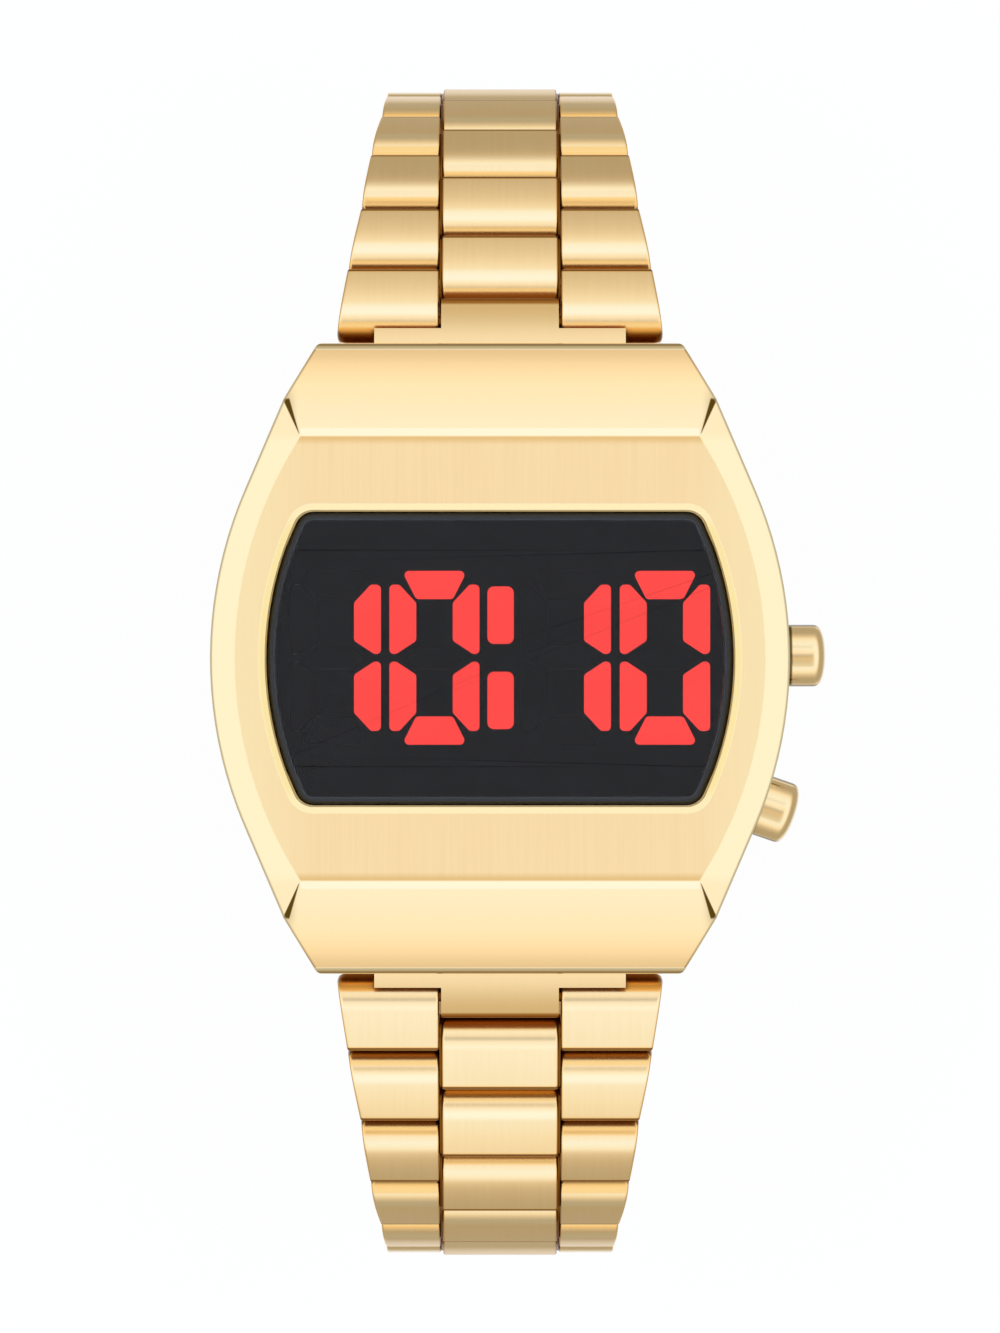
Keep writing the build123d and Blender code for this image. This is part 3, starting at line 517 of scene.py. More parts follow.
@dataclass(frozen=True)
class GlassFinish:
    """Clear crystal with a faint smoky tint, whose low bevel has a bluish shine.

    Attributes:
        name: The material's name.
        tint: Colour of the light that passes.
        rim: Tint of the bevel's shine.
        flat_z: Height of the flat top.
        index: How strongly the flat top mirrors, as an index of refraction.
    """

    name: str
    tint: Colour
    rim: Colour
    flat_z: float
    index: float

    def material(self) -> Material:
        """Makes the material; only what lies below the flat top is coated."""
        graph = Graph.material(self.name)
        _, _, height = graph.place()
        smoke = graph.noise((0.12, 0.3, 0.12), 3.0)
        darker = tuple(value * 0.96 for value in self.tint)
        return graph.surface({
            "Base Color": graph.blend(smoke.ramp(0.35, 0.65), darker, self.tint),
            "Roughness": 0.0,
            "IOR": self.index,
            "Transmission Weight": 1.0,
            "Coat Weight": height.ramp(self.flat_z - 0.01, self.flat_z - 0.05) * 0.85,
            "Coat Roughness": 0.05,
            "Coat Tint": self.rim,
        })


@dataclass(frozen=True)
class LightFinish:
    """Bar of light whose colour varies a little between bright and deep."""

    name: str
    bright: Colour
    deep: Colour
    strength: float

    def material(self) -> Material:
        """Makes the material."""
        graph = Graph.material(self.name)
        grain = graph.noise((2.5, 2.5, 2.5), 3.0)
        colour = graph.blend(grain.ramp(0.15, 0.5), self.deep, self.bright)
        return graph.surface({
            "Base Color": (0.12, 0.01, 0.01),
            "Roughness": grain * 0.1 + 0.35,
            "Specular IOR Level": 0.05,
            "Emission Color": colour,
            "Emission Strength": self.strength,
        })


# Beyond pale and deep, the case's colours are painted highlights, reflections and shade.
GOLD_CASE = CaseFinish(
    "gold_case",
    pale=(0.98, 0.735, 0.402),
    deep=(0.958, 0.71, 0.38),
    seam=(0.83, 0.545, 0.225),
    flank_side=(0.98, 0.775, 0.43),
    side=(0.975, 0.80, 0.465),
    ring=(0.92, 0.67, 0.28),
    lip=(0.97, 0.79, 0.50),
    edge=(0.42, 0.31, 0.15),
    step=(0.10, 0.05, 0.004),
    brushed=0.33,
    polished=0.14,
)
# Beyond pale and deep, the link's colours are a painted highlight, a painted reflection and painted shade.
GOLD_LINK = LinkFinish(
    "gold_link",
    pale=(0.94, 0.71, 0.39),
    deep=(0.925, 0.69, 0.37),
    crest=(0.95, 0.77, 0.47),
    amber=(0.93, 0.58, 0.21),
    joint=(0.20, 0.07, 0.008),
    satin=0.26,
    polished=0.19,
)
# The tongue's colours run from pale to dark as painted shade along it.
GOLD_TONGUE = TongueFinish(
    "gold_tongue",
    pale=(0.92, 0.64, 0.31),
    deep=(0.62, 0.37, 0.13),
    dark=(0.30, 0.11, 0.015),
    near=21.2,
    far=24.1,
    joint=24.25,
    roughness=0.22,
)
GOLD_CLASP = MetalFinish("gold_clasp", (0.94, 0.71, 0.39), (0.90, 0.67, 0.35), 0.27)
# Beyond pale and deep, the button's colours are painted light and shade, like the link's.
GOLD_BUTTON = LinkFinish(
    "gold_button",
    pale=(0.95, 0.74, 0.42),
    deep=(0.94, 0.725, 0.405),
    crest=(0.97, 0.80, 0.50),
    amber=(0.74, 0.50, 0.22),
    joint=(0.14, 0.10, 0.045),
    satin=0.19,
    polished=0.19,
)
STEEL = MetalFinish("satin_steel", (0.66, 0.66, 0.67), (0.55, 0.55, 0.56), 0.3)
STEEL_ACROSS = MetalFinish("turned_steel", (0.62, 0.62, 0.63), (0.50, 0.50, 0.51), 0.28, Grain.ACROSS)
CELL = MetalFinish("plated_cell", (0.72, 0.72, 0.73), (0.64, 0.64, 0.65), 0.2, Grain.NONE)
STRIP = MetalFinish("contact_strip", (0.80, 0.62, 0.35), (0.70, 0.52, 0.27), 0.25)
CRYSTAL = GlassFinish("smoked_crystal", (0.95, 0.95, 0.96), (0.75, 0.8, 1.0), flat_z=10.1, index=1.2)
MASK = PlasticFinish("black_mask", (0.0045, 0.0045, 0.0045), 0.7, shine=0.05)
LIT = LightFinish("lit_bar", (1.0, 0.052, 0.034), (0.985, 0.048, 0.031), strength=1.36)
DARK_BAR = PlasticFinish("dark_bar", (0.005, 0.0045, 0.0045), 0.7, shine=0.05)
BOARD = PlasticFinish("green_board", (0.03, 0.14, 0.06), 0.4)
HOLDER = PlasticFinish("moulded_holder", (0.50, 0.50, 0.47), 0.5)
CHIP = PlasticFinish("moulded_chip", (0.03, 0.03, 0.033), 0.45)
SEAL = PlasticFinish("black_seal", (0.02, 0.02, 0.02), 0.6)
# Each finish and the nodes that wear it; every other node wears turned steel.
WEARS = (
    (GOLD_CASE, "case_body"),
    (GOLD_TONGUE, "upper_end_link lower_end_link"),
    (GOLD_CLASP, "clasp_cover middle_blade bottom_blade"),
    (MASK, "segment_mask"),
    (LIT, "lit_segments"),
    (DARK_BAR, "unlit_segments"),
    (SEAL, "display_board crystal_gasket case_back_gasket pusher_seals"),
    (BOARD, "circuit_board"),
    (HOLDER, "module_frame"),
    (CHIP, "control_chip"),
    (CELL, "battery case_back_screws"),
    (STEEL, "battery_strap case_back"),
    (STRIP, "switch_contacts"),
)


def dress(frame: dict[str, Any]) -> dict[str, Material]:
    """Gives every node its material, and returns the materials by name."""
    finishes = {node: finish for finish, nodes in WEARS for node in nodes.split()}
    made: dict[str, Material] = {}
    for name, node in frame["nodes"].items():
        finish = finishes.get(name, STEEL_ACROSS)
        if finish.name not in made:
            made[finish.name] = finish.material()
        node.data.materials.clear()
        node.data.materials.append(made[finish.name])
    return made


@dataclass
class Surface:
    """Vertices, faces and tones of one closed surface, in millimetres.

    Attributes:
        points: Vertices, (n, 3).
        faces: Vertex numbers of each face.
        tones: Each vertex's crest tone, polish and painted highlight, and joint tone, painted reflection
            and shade, (n, 2).
    """

    points: Array
    faces: list[tuple[int, ...]]
    tones: Array


def unit(vectors: Array) -> Array:
    """Each row scaled to length 1."""
    return vectors / np.linalg.norm(vectors, axis=1)[:, None]


def rounded_outline(corners: Array, radii: Array, steps: int = 7) -> Array:
    """Closed outline whose corners are arcs tangent to both of their sides.

    Each arc's centre lies on the corner's bisector at radius / sin(half angle), and the
    arc turns from one tangent point to the other in equal steps.

    Args:
        corners: Corner points, (n, 2).
        radii: Radius at each corner, (n,).
        steps: Points on each arc.

    Returns:
        The outline, (n * steps, 2).
    """
    back = unit(np.roll(corners, 1, axis=0) - corners)
    ahead = unit(np.roll(corners, -1, axis=0) - corners)
    half = np.arccos(np.clip((back * ahead).sum(1), -1, 1)) / 2
    centre = corners + unit(back + ahead) * (radii / np.sin(half))[:, None]
    reach = (radii / np.tan(half))[:, None]
    first, last = corners + back * reach - centre, corners + ahead * reach - centre
    start = np.arctan2(first[:, 1], first[:, 0])
    sweep = (np.arctan2(last[:, 1], last[:, 0]) - start + np.pi) % (2 * np.pi) - np.pi
    angle = start[:, None] + sweep[:, None] * np.linspace(0, 1, steps)
    arcs = centre[:, None] + radii[:, None, None] * np.stack((np.cos(angle), np.sin(angle)), 2)
    return arcs.reshape(-1, 2)


def divided(outline: Array, longest: float) -> Array:
    """The outline with points added so that no step is longer than this.

    Columns after the first two, such as tones, are carried along in proportion.
    """
    ahead = np.roll(outline, -1, axis=0) - outline
    counts = np.maximum(1, np.ceil(np.linalg.norm(ahead[:, :2], axis=1) / longest)).astype(int)
    index = np.repeat(np.arange(len(outline)), counts)
    share = (np.arange(counts.sum()) - np.repeat(np.cumsum(counts) - counts, counts)) / counts[index]
    return outline[index] + ahead[index] * share[:, None]


def inward(outline: Array) -> Array:
    """Unit normals of a closed outline that point into it."""
    along = np.roll(outline, -1, axis=0) - np.roll(outline, 1, axis=0)
    normal = unit(np.stack((-along[:, 1], along[:, 0]), 1))
    after = np.roll(outline, -1, axis=0)
    area = (outline[:, 0] * after[:, 1] - after[:, 0] * outline[:, 1]).sum()
    return normal * np.sign(area)


def skin(rings: Array, tones: Array | None = None) -> Surface:
    """Closes a stack of rings with quads between them and one cap on each end.

    Args:
        rings: Points of the rings, (rings, points, 3).
        tones: Tones of each point, (rings, points, 2); none where the piece has one tone.

    Returns:
        The closed surface.
    """
    rows, count = rings.shape[:2]
    row, place = np.meshgrid(np.arange(rows - 1), np.arange(count), indexing="ij")
    after = (place + 1) % count
    low, high = row * count, (row + 1) * count
    quads = np.stack((low + place, low + after, high + after, high + place), -1)
    faces = [tuple(quad) for quad in quads.reshape(-1, 4).tolist()]
    faces.append(tuple(range(count - 1, -1, -1)))
    faces.append(tuple(range((rows - 1) * count, rows * count)))
    tones = np.zeros((rows, count, 2)) if tones is None else tones
    return Surface(rings.reshape(-1, 3), faces, tones.reshape(-1, 2))


def merged(surfaces: Sequence[Surface]) -> Surface:
    """Several surfaces as one."""
    offsets = np.cumsum([0] + [len(part.points) for part in surfaces[:-1]]).tolist()
    faces = []
    for part, offset in zip(surfaces, offsets):
        faces += [tuple(i + offset for i in face) for face in part.faces]
    points = np.concatenate([part.points for part in surfaces])
    return Surface(points, faces, np.concatenate([part.tones for part in surfaces]))


def face_outward(mesh: bpy.types.Mesh) -> None:
    """Turns every face of a closed mesh outwards."""
    shape = bmesh.new()
    shape.from_mesh(mesh)
    bmesh.ops.recalc_face_normals(shape, faces=shape.faces)
    shape.to_mesh(mesh)
    shape.free()


def make_piece(
    name: str, surface: Surface, material: Material, body: str, node: str
) -> bpy.types.Object:
    """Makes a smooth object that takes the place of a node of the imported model.

    Args:
        name: The piece's name.
        surface: What it is made of, in millimetres.
        material: What it is dressed in.
        body: The body it rides on.
        node: The node that it replaces.

    Returns:
        The object, at the origin.
    """
    mesh = bpy.data.meshes.new(name)
    mesh.from_pydata((surface.points * MM).tolist(), [], surface.faces)
    mesh.validate()
    face_outward(mesh)
    # The crest tone is polish with a painted highlight, the joint tone painted reflection and shade.
    for column, tone in enumerate(("crest", "joint")):
        values = mesh.attributes.new(tone, "FLOAT", "POINT").data
        values.foreach_set("value", surface.tones[:, column].astype(np.float32))
    mesh.materials.append(material)
    mesh.polygons.foreach_set("use_smooth", np.ones(len(mesh.polygons), bool))
    piece = bpy.data.objects.new(name, mesh)
    bpy.context.scene.collection.objects.link(piece)
    mesh.set_sharp_from_angle(angle=SHARP_ANGLE)
    even = piece.modifiers.new("even_normals", "WEIGHTED_NORMAL")
    even.keep_sharp = True
    even.weight = 100
    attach(piece, body)
    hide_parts(node)
    log.info("%s: %d faces", name, len(surface.faces))
    return piece


@dataclass
class Block:
    """A bracelet block: its side view, carried across the width of the bracelet.

    Attributes:
        outline: Side view, (n, 2), along the row and out of the wrist.
        near: X of its inner flank at each outline point.
        far: X of its outer flank at each outline point.
        tones: Crest tone, polish and painted highlight, and joint tone, painted reflection and shade, of
            each outline point, (n, 2).
        flank_tones: Joint tone, painted shade, of its inner and outer flank.
        edge: Radius of the rounding along both flanks.
        corner: Radius, in plan, of the corners at its case end.
        stations: How many outlines shape each flank.
        fade_power: How the painted shade of a flank fades out within the edge.
    """

    outline: Array
    near: Array
    far: Array
    tones: Array
    flank_tones: Pair
    edge: float = 0.14
    corner: float = 0.6
    stations: int = 7
    fade_power: float = 0.3

    def surface(self, where: "RowFrame") -> Surface:
        """The block's surface, from the outline at each station across the width.

        As turn goes from 0 to a right angle, a station's gap from the flank is
        corner * (1 - cos(turn)) and the case end is cut off at corner * (1 - sin(turn)). With
        s the part of edge that the gap leaves, the inset is edge - sqrt(edge**2 - s**2), and
        the painted shade of a flank fades as (s / edge)**fade_power; where it lies, it takes
        the crest's painted highlight away.
        """
        turn = np.linspace(0, np.pi / 2, self.stations)
        gap = self.corner * (1 - np.cos(turn))
        cut = self.corner * (1 - np.sin(turn))
        left = np.clip(self.edge - gap, 0, None)
        inset = self.edge - np.sqrt(self.edge**2 - left**2)
        fade = (left / self.edge) ** self.fade_power
        sides = (gap, cut, inset, fade)
        gap, cut, inset, fade = (np.concatenate((part, part[::-1])) for part in sides)
        from_near = np.arange(len(gap)) < len(turn)
        section = self.outline[None] + inward(self.outline)[None] * inset[:, None, None]
        section[..., 0] = np.maximum(section[..., 0], self.outline[:, 0].min() + cut[:, None])
        sign = np.sign(self.far - self.near)[None]
        gap = sign * gap[:, None]
        x = np.where(from_near[:, None], self.near + gap, self.far - gap)
        tones = np.repeat(self.tones[None], len(gap), axis=0)
        # Painted shade on the flanks, which takes the painted highlight off them.
        flank = np.where(from_near, *self.flank_tones) * fade
        tones[..., 1] = np.maximum(tones[..., 1], flank[:, None])
        tones[..., 0] *= 1 - flank[:, None]
        return skin(where.place(np.dstack((x, section))), tones)


@dataclass
class RowFrame:
    """Where one row lies: its case-side hinge and its slope."""

    half: Half
    hinge: Array
    slope: float

    def place(self, rings: Array) -> Array:
        """Carries points given as (x, along the row, out of the wrist) into the frame."""
        sign = self.half.value
        along = np.array([0, sign * math.cos(self.slope), -math.sin(self.slope)])
        out = np.array([0, sign * math.sin(self.slope), math.cos(self.slope)])
        across = np.array([1.0, 0, 0])
        return self.hinge + rings[..., :1] * across + rings[..., 1:2] * along + rings[..., 2:] * out


@dataclass
class Bracelet:
    """The rows of both halves of the bracelet: blocks, pins and the dark sheets of painted shade between
    columns.
    """

    frame: dict[str, Any]
    pitch: float = 5.3
    thickness: float = 2.9
    row_gap: float = 0.25
    centre_half: float = 4.0
    side_gap: float = 0.15
    pin_radius: float = 0.5
    pin_chamfer: float = 0.05
    pin_proud: float = 0.015
    clasp_round: float = 0.3
    inner_round: float = 0.3
    relief_start: float = 0.2
    relief_length: float = 0.8
    rise: float = 4.0
    fall: float = 12.0
    turn: float = 72.0
    power: float = 5.0
    rows: int = 12
    widths: tuple[float, ...] = (22.2, 20.8, 19.1, 17.9, 16.6, 16.0)
    # Size of the dark sheets of painted shade between columns, as shares of a centre block's side view.
    web_share: Pair = (0.97, 0.8)
    top_points: int = 57
    # Where along a block's top lie its painted highlight, painted reflection and deeper painted shade, and
    # how much painted shade its hidden faces get.
    crest_at: float = 0.68
    crest_width: float = 0.09
    amber_at: float = 0.83
    deep_at: float = 0.93
    hidden_tone: float = 0.8
    arc_steps: int = 7
    end_points: int = 6
    longest: float = 0.45

    def hinge(self, body: str) -> Array:
        """The joint point of a body, in millimetres."""
        joint = next(j for j in self.frame["joints"] if j["child"] == body)
        return np.array(joint["pos_m"]) / MM

    def row_frame(self, half: Half, row: int) -> RowFrame:
        """Hinge and slope of a row, from the joints at its two ends."""
        start = self.hinge(f"{half.word}_row_{row:02d}")
        if row < self.rows:
            stop = self.hinge(f"{half.word}_row_{row + 1:02d}")
        elif half is Half.LOWER:
            stop = self.hinge("clasp_cover")
        else:
            stop = start + np.array([0.0, -self.pitch, 0.0])
        run = (stop - start) * np.array([1, half.value, 1])
        return RowFrame(half, start, math.atan2(-run[2], run[1]))

    def top(self, start: float, stop: float) -> Array:
        """Top of a block's side view with its tones, from the clasp end to the case end.

        With t from 0 to 1 along the top, its slope angle is rise - fall * t - turn * t**power,
        and its height is the sum of the tangents of that angle. The crest tone, polish and a
        painted highlight, is a smooth hump, and the joint tone is painted reflection in the amber
        colour after it and deep painted shade at both ends.

        Returns:
            Points and tones, (n, 4).
        """
        t = 1 - np.linspace(1, 0, self.top_points) ** 1.4
        angle = np.radians(self.rise - self.fall * t - self.turn * t**self.power)
        tangent = np.tan(angle)
        steps = np.diff(t) * (stop - start) * (tangent[1:] + tangent[:-1]) / 2
        height = np.concatenate(([0.0], np.cumsum(steps)))
        height += self.thickness / 2 - height.max()
        # Painted highlight along the crest.
        crest = np.exp(-(((t - self.crest_at) / self.crest_width) ** 4))
        # Painted reflection after the crest, then painted shade at both ends.
        amber = 0.45 * np.clip((t - self.amber_at) / 0.03, 0, 1)
        deep = 0.5 + 0.5 * np.clip((t - self.deep_at) / 0.04, 0, 1)
        clasp_end = np.clip((0.03 - t) / 0.03, 0, 1)
        joint = np.where(t > self.deep_at - 0.01, np.maximum(amber, deep), amber) + clasp_end
        return np.column_stack((stop - t * (stop - start), height, crest, joint))

    def outline(self, start: float, stop: float) -> Array:
        """Side view of a block: rounded clasp end, domed top, relief and flat inside.

        Returns:
            Points and tones round the block, (n, 4).
        """
        high = self.thickness / 2
        turn = np.linspace(0, np.pi / 2 - math.radians(self.rise), self.end_points)
        top = self.top(start, stop - self.clasp_round)
        round_end = np.column_stack((np.cos(turn), np.sin(turn)))
        round_end = top[0, :2] + (round_end - round_end[-1]) * self.clasp_round
        relief = min(self.relief_start, top[-1, 1] - 0.1)
        foot = start + self.relief_length
        inner = np.array([(start, relief), (foot, -high), (stop, -high), (stop, 0.0)])
        radii = np.array([0.0, self.inner_round, self.inner_round, 0.0])
        steps, tone = self.arc_steps, self.hidden_tone
        rounded = rounded_outline(inner, radii, steps)[steps - 1 : 3 * steps]
        count = len(round_end) - 1
        # Painted shade on the rounded clasp end and on the relief down to its foot, none on the flat
        # inside.
        clasp_end = (round_end[:-1], np.zeros(count), np.linspace(1.0, tone, count))
        hidden = np.column_stack((rounded, np.zeros(len(rounded)), np.full(len(rounded), tone)))
        hidden[steps + 1 :, 3] = 0.0
        return divided(np.concatenate((np.column_stack(clasp_end), top, hidden)), self.longest)

    def block(self, start: float, stop: float, flanks: tuple[Pair, Pair], flank_tones: Pair) -> Block:
        """One block between two flanks.

        Args:
            start: Case end, along the row.
            stop: Clasp end.
            flanks: X of the inner and of the outer flank, each at the start and at the stop.
            flank_tones: Joint tone, painted shade, of the inner and outer flank.

        Returns:
            The block.
        """
        outline = self.outline(start, stop)
        share = (outline[:, 0] - start) / (stop - start)
        near, far = (first + (last - first) * share for first, last in flanks)
        return Block(outline[:, :2], near, far, outline[:, 2:], flank_tones)

    def pin(self, place: float, half_width: float) -> tuple[Array, Array]:
        """A round pin across the row at this place along it, with painted shade between the columns."""
        turn = np.linspace(0, 2 * np.pi, 20, endpoint=False)
        crossing = self.centre_half + 1.0
        reach = np.array([crossing, crossing + 0.3, half_width - self.pin_chamfer, half_width])
        reach = np.concatenate((-reach[::-1], reach))
        radius = self.pin_radius - self.pin_chamfer * (np.abs(reach) > half_width - 0.01)
        x = np.repeat(reach[:, None], len(turn), axis=1)
        rings = np.dstack((x, place + radius[:, None] * np.cos(turn), radius[:, None] * np.sin(turn)))
        tones = np.zeros((*x.shape, 2))
        # Painted shade on the pin between the columns.
        tones[..., 1] = np.abs(x) < crossing + 0.1
        return rings, tones

    def web(self, outline: Array, side: float) -> tuple[Array, Array]:
        """A thin dark sheet of painted shade that closes the gap on one side of the centre block, inside
        its outline.
        """
        middle = (outline.max(axis=0) + outline.min(axis=0)) / 2
        section = middle + (outline - middle) * self.web_share
        reach = side * np.array([self.centre_half - 0.1, self.centre_half + self.side_gap - 0.02])
        rings = np.stack([np.column_stack((np.full(len(section), x), section)) for x in reach])
        return rings, np.broadcast_to((0.0, 1.0), (*rings.shape[:2], 2)).copy()

    def build_row(self, half: Half, row: int, material: Material) -> None:
        """Builds one row: its blocks, pins and sheets of painted shade."""
        where = self.row_frame(half, row)
        knuckle = self.pitch / 4
        length = self.pitch - self.row_gap
        last_upper = half is Half.UPPER and row == self.rows
        side_stop = self.pitch + knuckle if last_upper else length - knuckle
        centre_stop = length - knuckle if last_upper else self.pitch + knuckle
        last = len(self.widths) - 1
        start_width, stop_width = (self.widths[min(end, last)] for end in (row - 1, row))
        inner = self.centre_half + self.side_gap
        blocks = []
        for side in (1, -1):
            flanks = ((side * inner,) * 2, (side * start_width / 2, side * stop_width / 2))
            # Painted shade on the flanks: full on the inner one, lighter on the outer one.
            blocks.append(self.block(-knuckle, side_stop, flanks, (1.0, 0.35)))
        flanks = ((-self.centre_half,) * 2, (self.centre_half,) * 2)
        # Painted shade on both flanks of the centre block.
        blocks.append(self.block(knuckle + self.row_gap, centre_stop, flanks, (1.0, 1.0)))
        pins = []
        for place in (0.0, self.pitch / 2):
            share = (place + knuckle) / (side_stop + knuckle)
            width = start_width + (stop_width - start_width) * share
            pins.append(self.pin(place, width / 2 + self.pin_proud))
        shade_sheets = [self.web(blocks[2].outline, side) for side in (-1, 1)]
        body = f"{half.word}_row_{row:02d}"
        surfaces = [block.surface(where) for block in blocks]
        surfaces += [skin(where.place(rings), tones) for rings, tones in pins + shade_sheets]
        make_piece(f"{body}_blocks", merged(surfaces), material, body, body)

    def build(self, material: Material) -> None:
        """Builds every row."""
        for half in Half:
            for row in range(1, self.rows + 1):
                self.build_row(half, row, material)


@dataclass
class PushButton:
    """Push button: a domed cap, hollow behind, on a grooved stem, and its return spring."""

    name: str
    frame: dict[str, Any]
    at: Pair
    tilt: float
    height: float = 5.2
    radius: float = 2.1
    length: float = 2.55
    dome: float = 0.85
    dome_power: float = 2.4
    back: float = 0.45
    wall: float = 0.25
    chamfer: float = 0.06
    points_round: int = 120
    ceiling: float = 1.5
    stem: float = 0.7
    groove: float = 0.5
    groove_place: Pair = (0.44, 0.71)
    spring_foot: float = -1.57
    spring_radius: float = 1.55
    spring_wire: float = 0.12
    spring_turns: int = 4
    travel: float = 0.7

    @property
    def centre(self) -> Array:
        """Where the button's axis crosses the flank of the case."""
        return np.array([*self.at, self.height])

    @property
    def out(self) -> Array:
        """Direction out of the case."""
        return np.array([math.cos(self.tilt), -math.sin(self.tilt), 0.0])

    def radial(self, turn: Array) -> Array:
        """Unit vectors square to the button's axis, at these angles from the one along the flank."""
        side = np.array([math.sin(self.tilt), math.cos(self.tilt), 0.0])
        return np.cos(turn)[:, None] * side + np.sin(turn)[:, None] * np.array([0.0, 0.0, 1.0])

    def profile(self) -> Array:
        """Distance out of the case and radius, from the end of the stem to the top of the dome.

        The stem's end is measured on the node that this piece replaces. The dome is a quarter
        of a superellipse: (r / radius)**dome_power + (d / dome)**dome_power = 1.
        """
        node = self.frame["nodes"][f"{self.name}_pusher"]
        points = np.array([vertex.co for vertex in node.data.vertices])
        end = float(((points / MM - self.centre) @ self.out).min())
        low, high = (end + place for place in self.groove_place)
        stem = [(end, 0.1), (end, self.stem), (low, self.stem), (low, self.groove), (high, self.groove)]
        stem += [(high, self.stem), (self.ceiling, self.stem)]
        hollow = [(self.ceiling, self.radius - self.wall), (-self.back, self.radius - self.wall)]
        rim = [(-self.back, self.radius - self.chamfer), (-self.back + self.chamfer, self.radius)]
        side = np.stack((np.linspace(0.2, self.length - self.dome - 0.1, 13), np.full(13, self.radius)), 1)
        turn = np.linspace(0, np.pi / 2, 16)
        round_power = 2 / self.dome_power
        dome_out = self.length - self.dome + self.dome * np.sin(turn) ** round_power
        dome_radius = self.radius * np.cos(turn) ** round_power
        return np.concatenate((stem + hollow + rim, side, np.stack((dome_out, dome_radius), 1)[:-1]))

    def tones(self, profile: Array, sideways: Array) -> Array:
        """Painted reflections in bands along the barrel, which fade on the dome, and painted shade at the
        foot.

        With s from -1 to 1 across the button, a broad soft band of painted reflection lies
        between s = -0.4 and 0 and a faint one at 0.28, and painted shade deepens where the
        size of s nears 1.
        """
        place, radius = profile[:, :1], profile[:, 1:]
        # Painted reflections: a broad band and a faint one along the barrel.
        broad = 0.6 * np.exp(-(((sideways + 0.19) / 0.17) ** 4))
        faint = 0.25 * np.exp(-(((sideways - 0.28) / 0.07) ** 2))
        barrel = np.clip((self.length - self.dome + 0.15 - place) / 0.3, 0, 1)
        # Painted shade along the sides of the barrel.
        sides = np.clip((np.abs(sideways) - 0.92) / 0.03, 0, 1)
        # Painted shade at the foot, beside the case.
        foot = np.clip((0.3 - place) / 0.1, 0, 1)
        joint = np.maximum((broad + faint) * barrel, sides * (radius / self.radius) ** 8)
        outer = (radius > self.radius - self.wall / 2) | (place > self.ceiling + 0.1)
        joint = np.maximum(joint, foot) * outer
        return np.dstack((np.zeros_like(joint), joint))

    def build_cap(self, material: Material) -> None:
        """Builds the cap with its stem and puts it on its body."""
        profile = self.profile()
        turn = np.linspace(0, 2 * np.pi, self.points_round, endpoint=False)
        radial = self.radial(turn)
        rings = self.centre + profile[:, :1, None] * self.out + profile[:, 1:, None] * radial[None]
        cap = skin(rings, self.tones(profile, np.cos(turn)))
        body = f"{self.name}_pusher"
        make_piece(f"{body}_cap", cap, material, body, body)

    def build_spring(self, material: Material) -> None:
        """Builds the return spring, a helix from inside the case up to the cap, riding on the button."""
        high = self.ceiling - 0.03 - self.spring_wire
        low = self.spring_foot + self.spring_wire
        share = np.linspace(0, 1, 30 * self.spring_turns + 1)
        radial = self.radial(share * 2 * np.pi * self.spring_turns)
        line = self.centre + (low + (high - low) * share)[:, None] * self.out + self.spring_radius * radial
        around = np.linspace(0, 2 * np.pi, 10, endpoint=False)
        section = np.cos(around)[None, :, None] * radial[:, None]
        section = section + np.sin(around)[None, :, None] * self.out
        rings = line[:, None] + self.spring_wire * section
        body, name = f"{self.name}_pusher", f"{self.name}_return_spring"
        piece = make_piece(name, skin(rings), material, body, f"{body}_spring")
        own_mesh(piece)

    def build(self, material: Material, steel: Material) -> None:
        """Builds the whole button."""
        self.build_cap(material)
        self.build_spring(steel)


@dataclass
class Window:
    """The crystal in its window."""

    half_width: float = 15.75
    half_height: float = 9.9
    arc_radius: float = 22.0
    corner: float = 1.3
    bottom: float = 8.5
    top: float = 10.1
    bevel_width: float = 0.62
    bevel_drop: float = 0.3
    side_points: int = 25
    joint_round: float = 0.4

    def outline(self, grow: float) -> Array:
        """Window outline, grown all round: two bowed sides, two straight ones, round corners."""
        centre = self.half_width - self.arc_radius
        reach = math.asin(self.half_height / self.arc_radius)
        count = self.side_points
        angle = np.linspace(-reach, reach, count)
        right = np.stack((centre + self.arc_radius * np.cos(angle), self.arc_radius * np.sin(angle)), 1)
        corners = np.concatenate((right, -right))
        place = np.arange(2 * count) % count
        radii = np.where(np.isin(place, (0, count - 1)), self.corner, self.joint_round)
        kept = ~np.isin(place, (1, 2, count - 3, count - 2))
        outline = divided(rounded_outline(corners[kept], radii[kept], 6), 0.5)
        return outline - inward(outline) * grow

    def level(self, grow: float, height: float) -> Array:
        """The grown outline at this height."""
        outline = self.outline(grow)
        return np.column_stack((outline, np.full(len(outline), height)))

    def build(self, material: Material) -> None:
        """Builds the crystal: a straight edge, a bevel with soft shoulders and a flat top."""
        stations = [
            (-0.06, self.bottom),
            (0.0, self.bottom + 0.06),
            (0.0, self.top - self.bevel_drop - 0.04),
            (-0.03, self.top - self.bevel_drop),
            (-self.bevel_width + 0.05, self.top - 0.03),
            (-self.bevel_width, self.top - 0.01),
            (-self.bevel_width - 0.06, self.top),
        ]
        rings = np.stack([self.level(grow, height) for grow, height in stations])
        make_piece("crystal_glass", skin(rings), material, "case", "crystal")


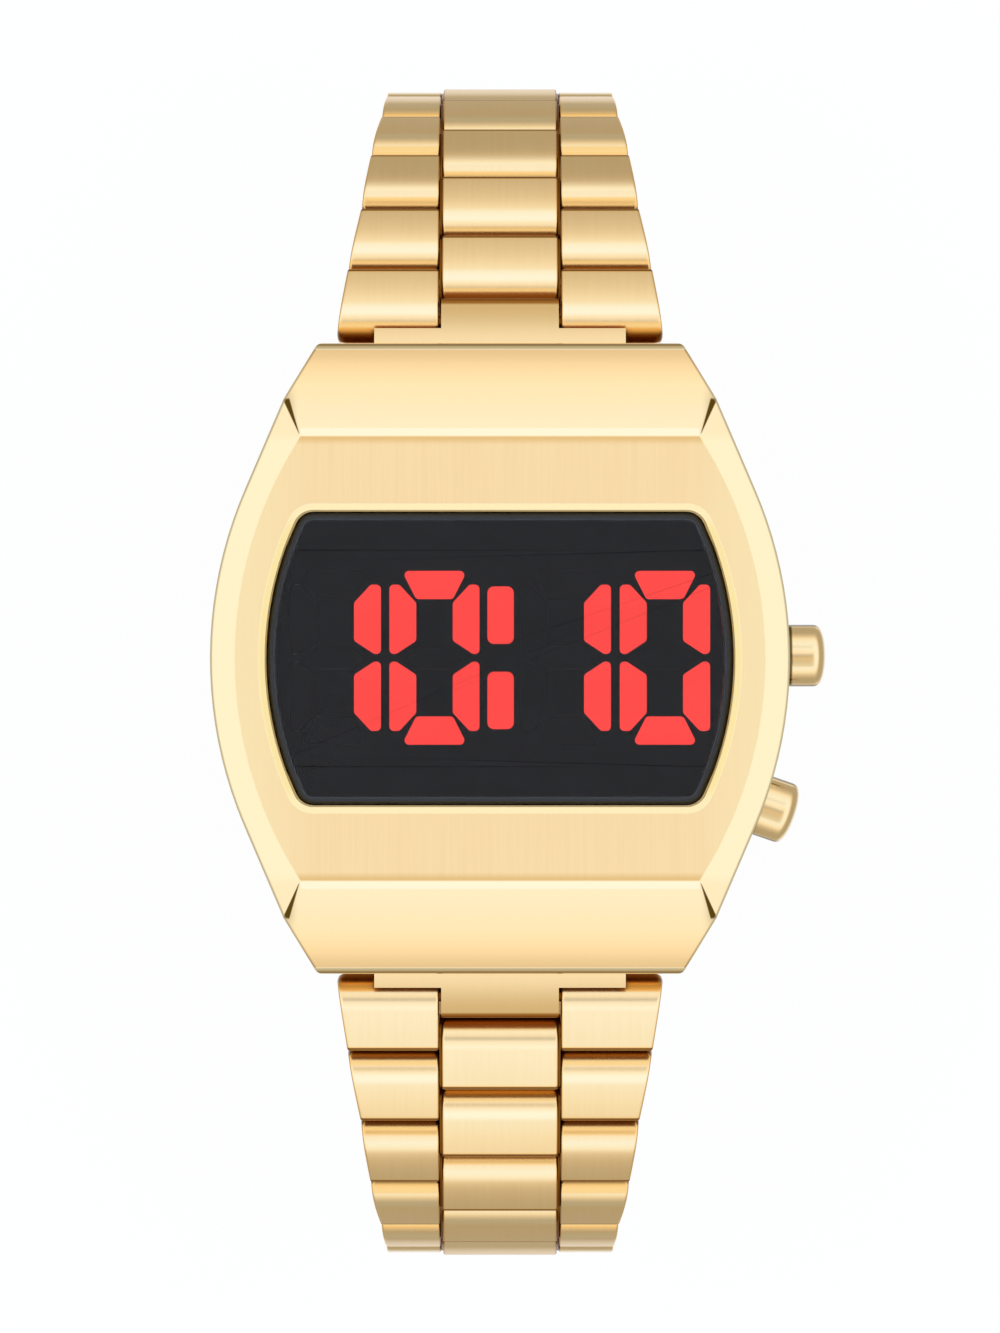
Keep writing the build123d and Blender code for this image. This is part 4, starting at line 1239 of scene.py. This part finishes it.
@dataclass
class Studio:
    """Floor, soft light and the camera; the floor lies below the lowest pose of the bracelet."""

    floor_z: float = -60.0
    camera_height: float = 490.2
    camera_y: float = -0.54
    lens: float = 192.6
    white_x: float = 42.0
    white_y: float = 54.0
    fade: float = 32.0
    dim: Colour = (0.50, 0.46, 0.38)
    glow: float = 0.9
    half_size: float = 1.5
    tent: tuple[tuple[float, Colour], ...] = (
        (0.0, (0.55, 0.50, 0.42)),
        (0.225, (0.77, 0.70, 0.60)),
        (0.375, (1.03, 0.98, 0.90)),
        (0.515, (1.06, 1.12, 1.15)),
        (0.643, (1.04, 1.13, 1.28)),
        (0.80, (1.06, 1.20, 1.42)),
        (0.90, (1.08, 1.20, 1.40)),
        (0.955, (1.10, 1.10, 1.12)),
        (0.992, (1.05, 1.03, 1.0)),
        (0.997, (0.45, 0.45, 0.45)),
    )

    def camera(self) -> None:
        """Makes the camera, which looks straight down on the dial."""
        data = bpy.data.cameras.new("camera")
        data.lens = self.lens
        data.clip_start, data.clip_end = 0.01, 10.0
        camera = bpy.data.objects.new("camera", data)
        camera.location = (0, self.camera_y * MM, self.camera_height * MM)
        bpy.context.scene.collection.objects.link(camera)
        bpy.context.scene.camera = camera

    def floor(self) -> None:
        """Makes the floor: white around the watch and dimmer further out.

        How dim it is goes from 0 where the larger of |x| - white_x and |y| - white_y is 0,
        to 1 where it is fade.
        """
        mesh = bpy.data.meshes.new("floor")
        half = self.half_size
        corners = [(-half, -half), (half, -half), (half, half), (-half, half)]
        mesh.from_pydata([(x, y, self.floor_z * MM) for x, y in corners], [], [(0, 1, 2, 3)])
        floor = bpy.data.objects.new("floor", mesh)
        bpy.context.scene.collection.objects.link(floor)
        graph = Graph.material("pale_floor")
        x, y, _ = graph.place()
        outside = (abs(x) - self.white_x).larger(abs(y) - self.white_y)
        colour = graph.blend(outside.ramp(0, self.fade), (1.0, 1.0, 1.0), self.dim)
        rays = graph.node("ShaderNodeLightPath", {}, {}).outputs
        seen = Signal(graph, rays["Is Camera Ray"]) + rays["Is Glossy Ray"]
        seen = seen + rays["Is Transmission Ray"]
        matt = graph.node("ShaderNodeBsdfDiffuse", {}, {"Color": colour})
        lit = graph.node("ShaderNodeEmission", {}, {"Color": colour})
        share = seen.combine("MINIMUM", seen, 1.0) * self.glow
        mixed = graph.node("ShaderNodeMixShader", {}, {0: share, 1: matt.outputs[0], 2: lit.outputs[0]})
        graph.node("ShaderNodeOutputMaterial", {}, {"Surface": mixed.outputs[0]})
        mesh.materials.append(graph.owner)

    def world(self) -> None:
        """Makes the light tent: its colour depends on the cosine of the angle from straight up."""
        world = bpy.data.worlds.new("world")
        graph = Graph(world)
        where = graph.node("ShaderNodeTexCoord", {}, {}).outputs["Generated"]
        height = graph.node("ShaderNodeSeparateXYZ", {}, {0: where}).outputs[2]
        ramp = graph.node("ShaderNodeValToRGB", {"stops": self.tent}, {0: height})
        light = graph.node("ShaderNodeBackground", {}, {"Color": ramp.outputs[0]})
        graph.node("ShaderNodeOutputWorld", {}, {"Surface": light.outputs[0]})
        bpy.context.scene.world = world

    def build(self) -> None:
        """Makes all of it."""
        self.floor()
        self.world()
        bpy.context.scene.view_settings.view_transform = "Standard"


def main() -> None:
    """Builds the watch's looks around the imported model."""
    logging.basicConfig(level=logging.INFO, format="%(message)s")
    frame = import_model()
    studio = Studio()
    studio.camera()
    made = dress(frame)
    Bracelet(frame).build(GOLD_LINK.material())
    Window().build(CRYSTAL.material())
    button = GOLD_BUTTON.material()
    for name, at, tilt in (("upper", (19.55, 0.2), 0), ("lower", (17.6, -9.9), 19)):
        PushButton(name, frame, at, math.radians(tilt)).build(button, made[STEEL_ACROSS.name])
    studio.build()


if __name__ == "__main__":
    main()
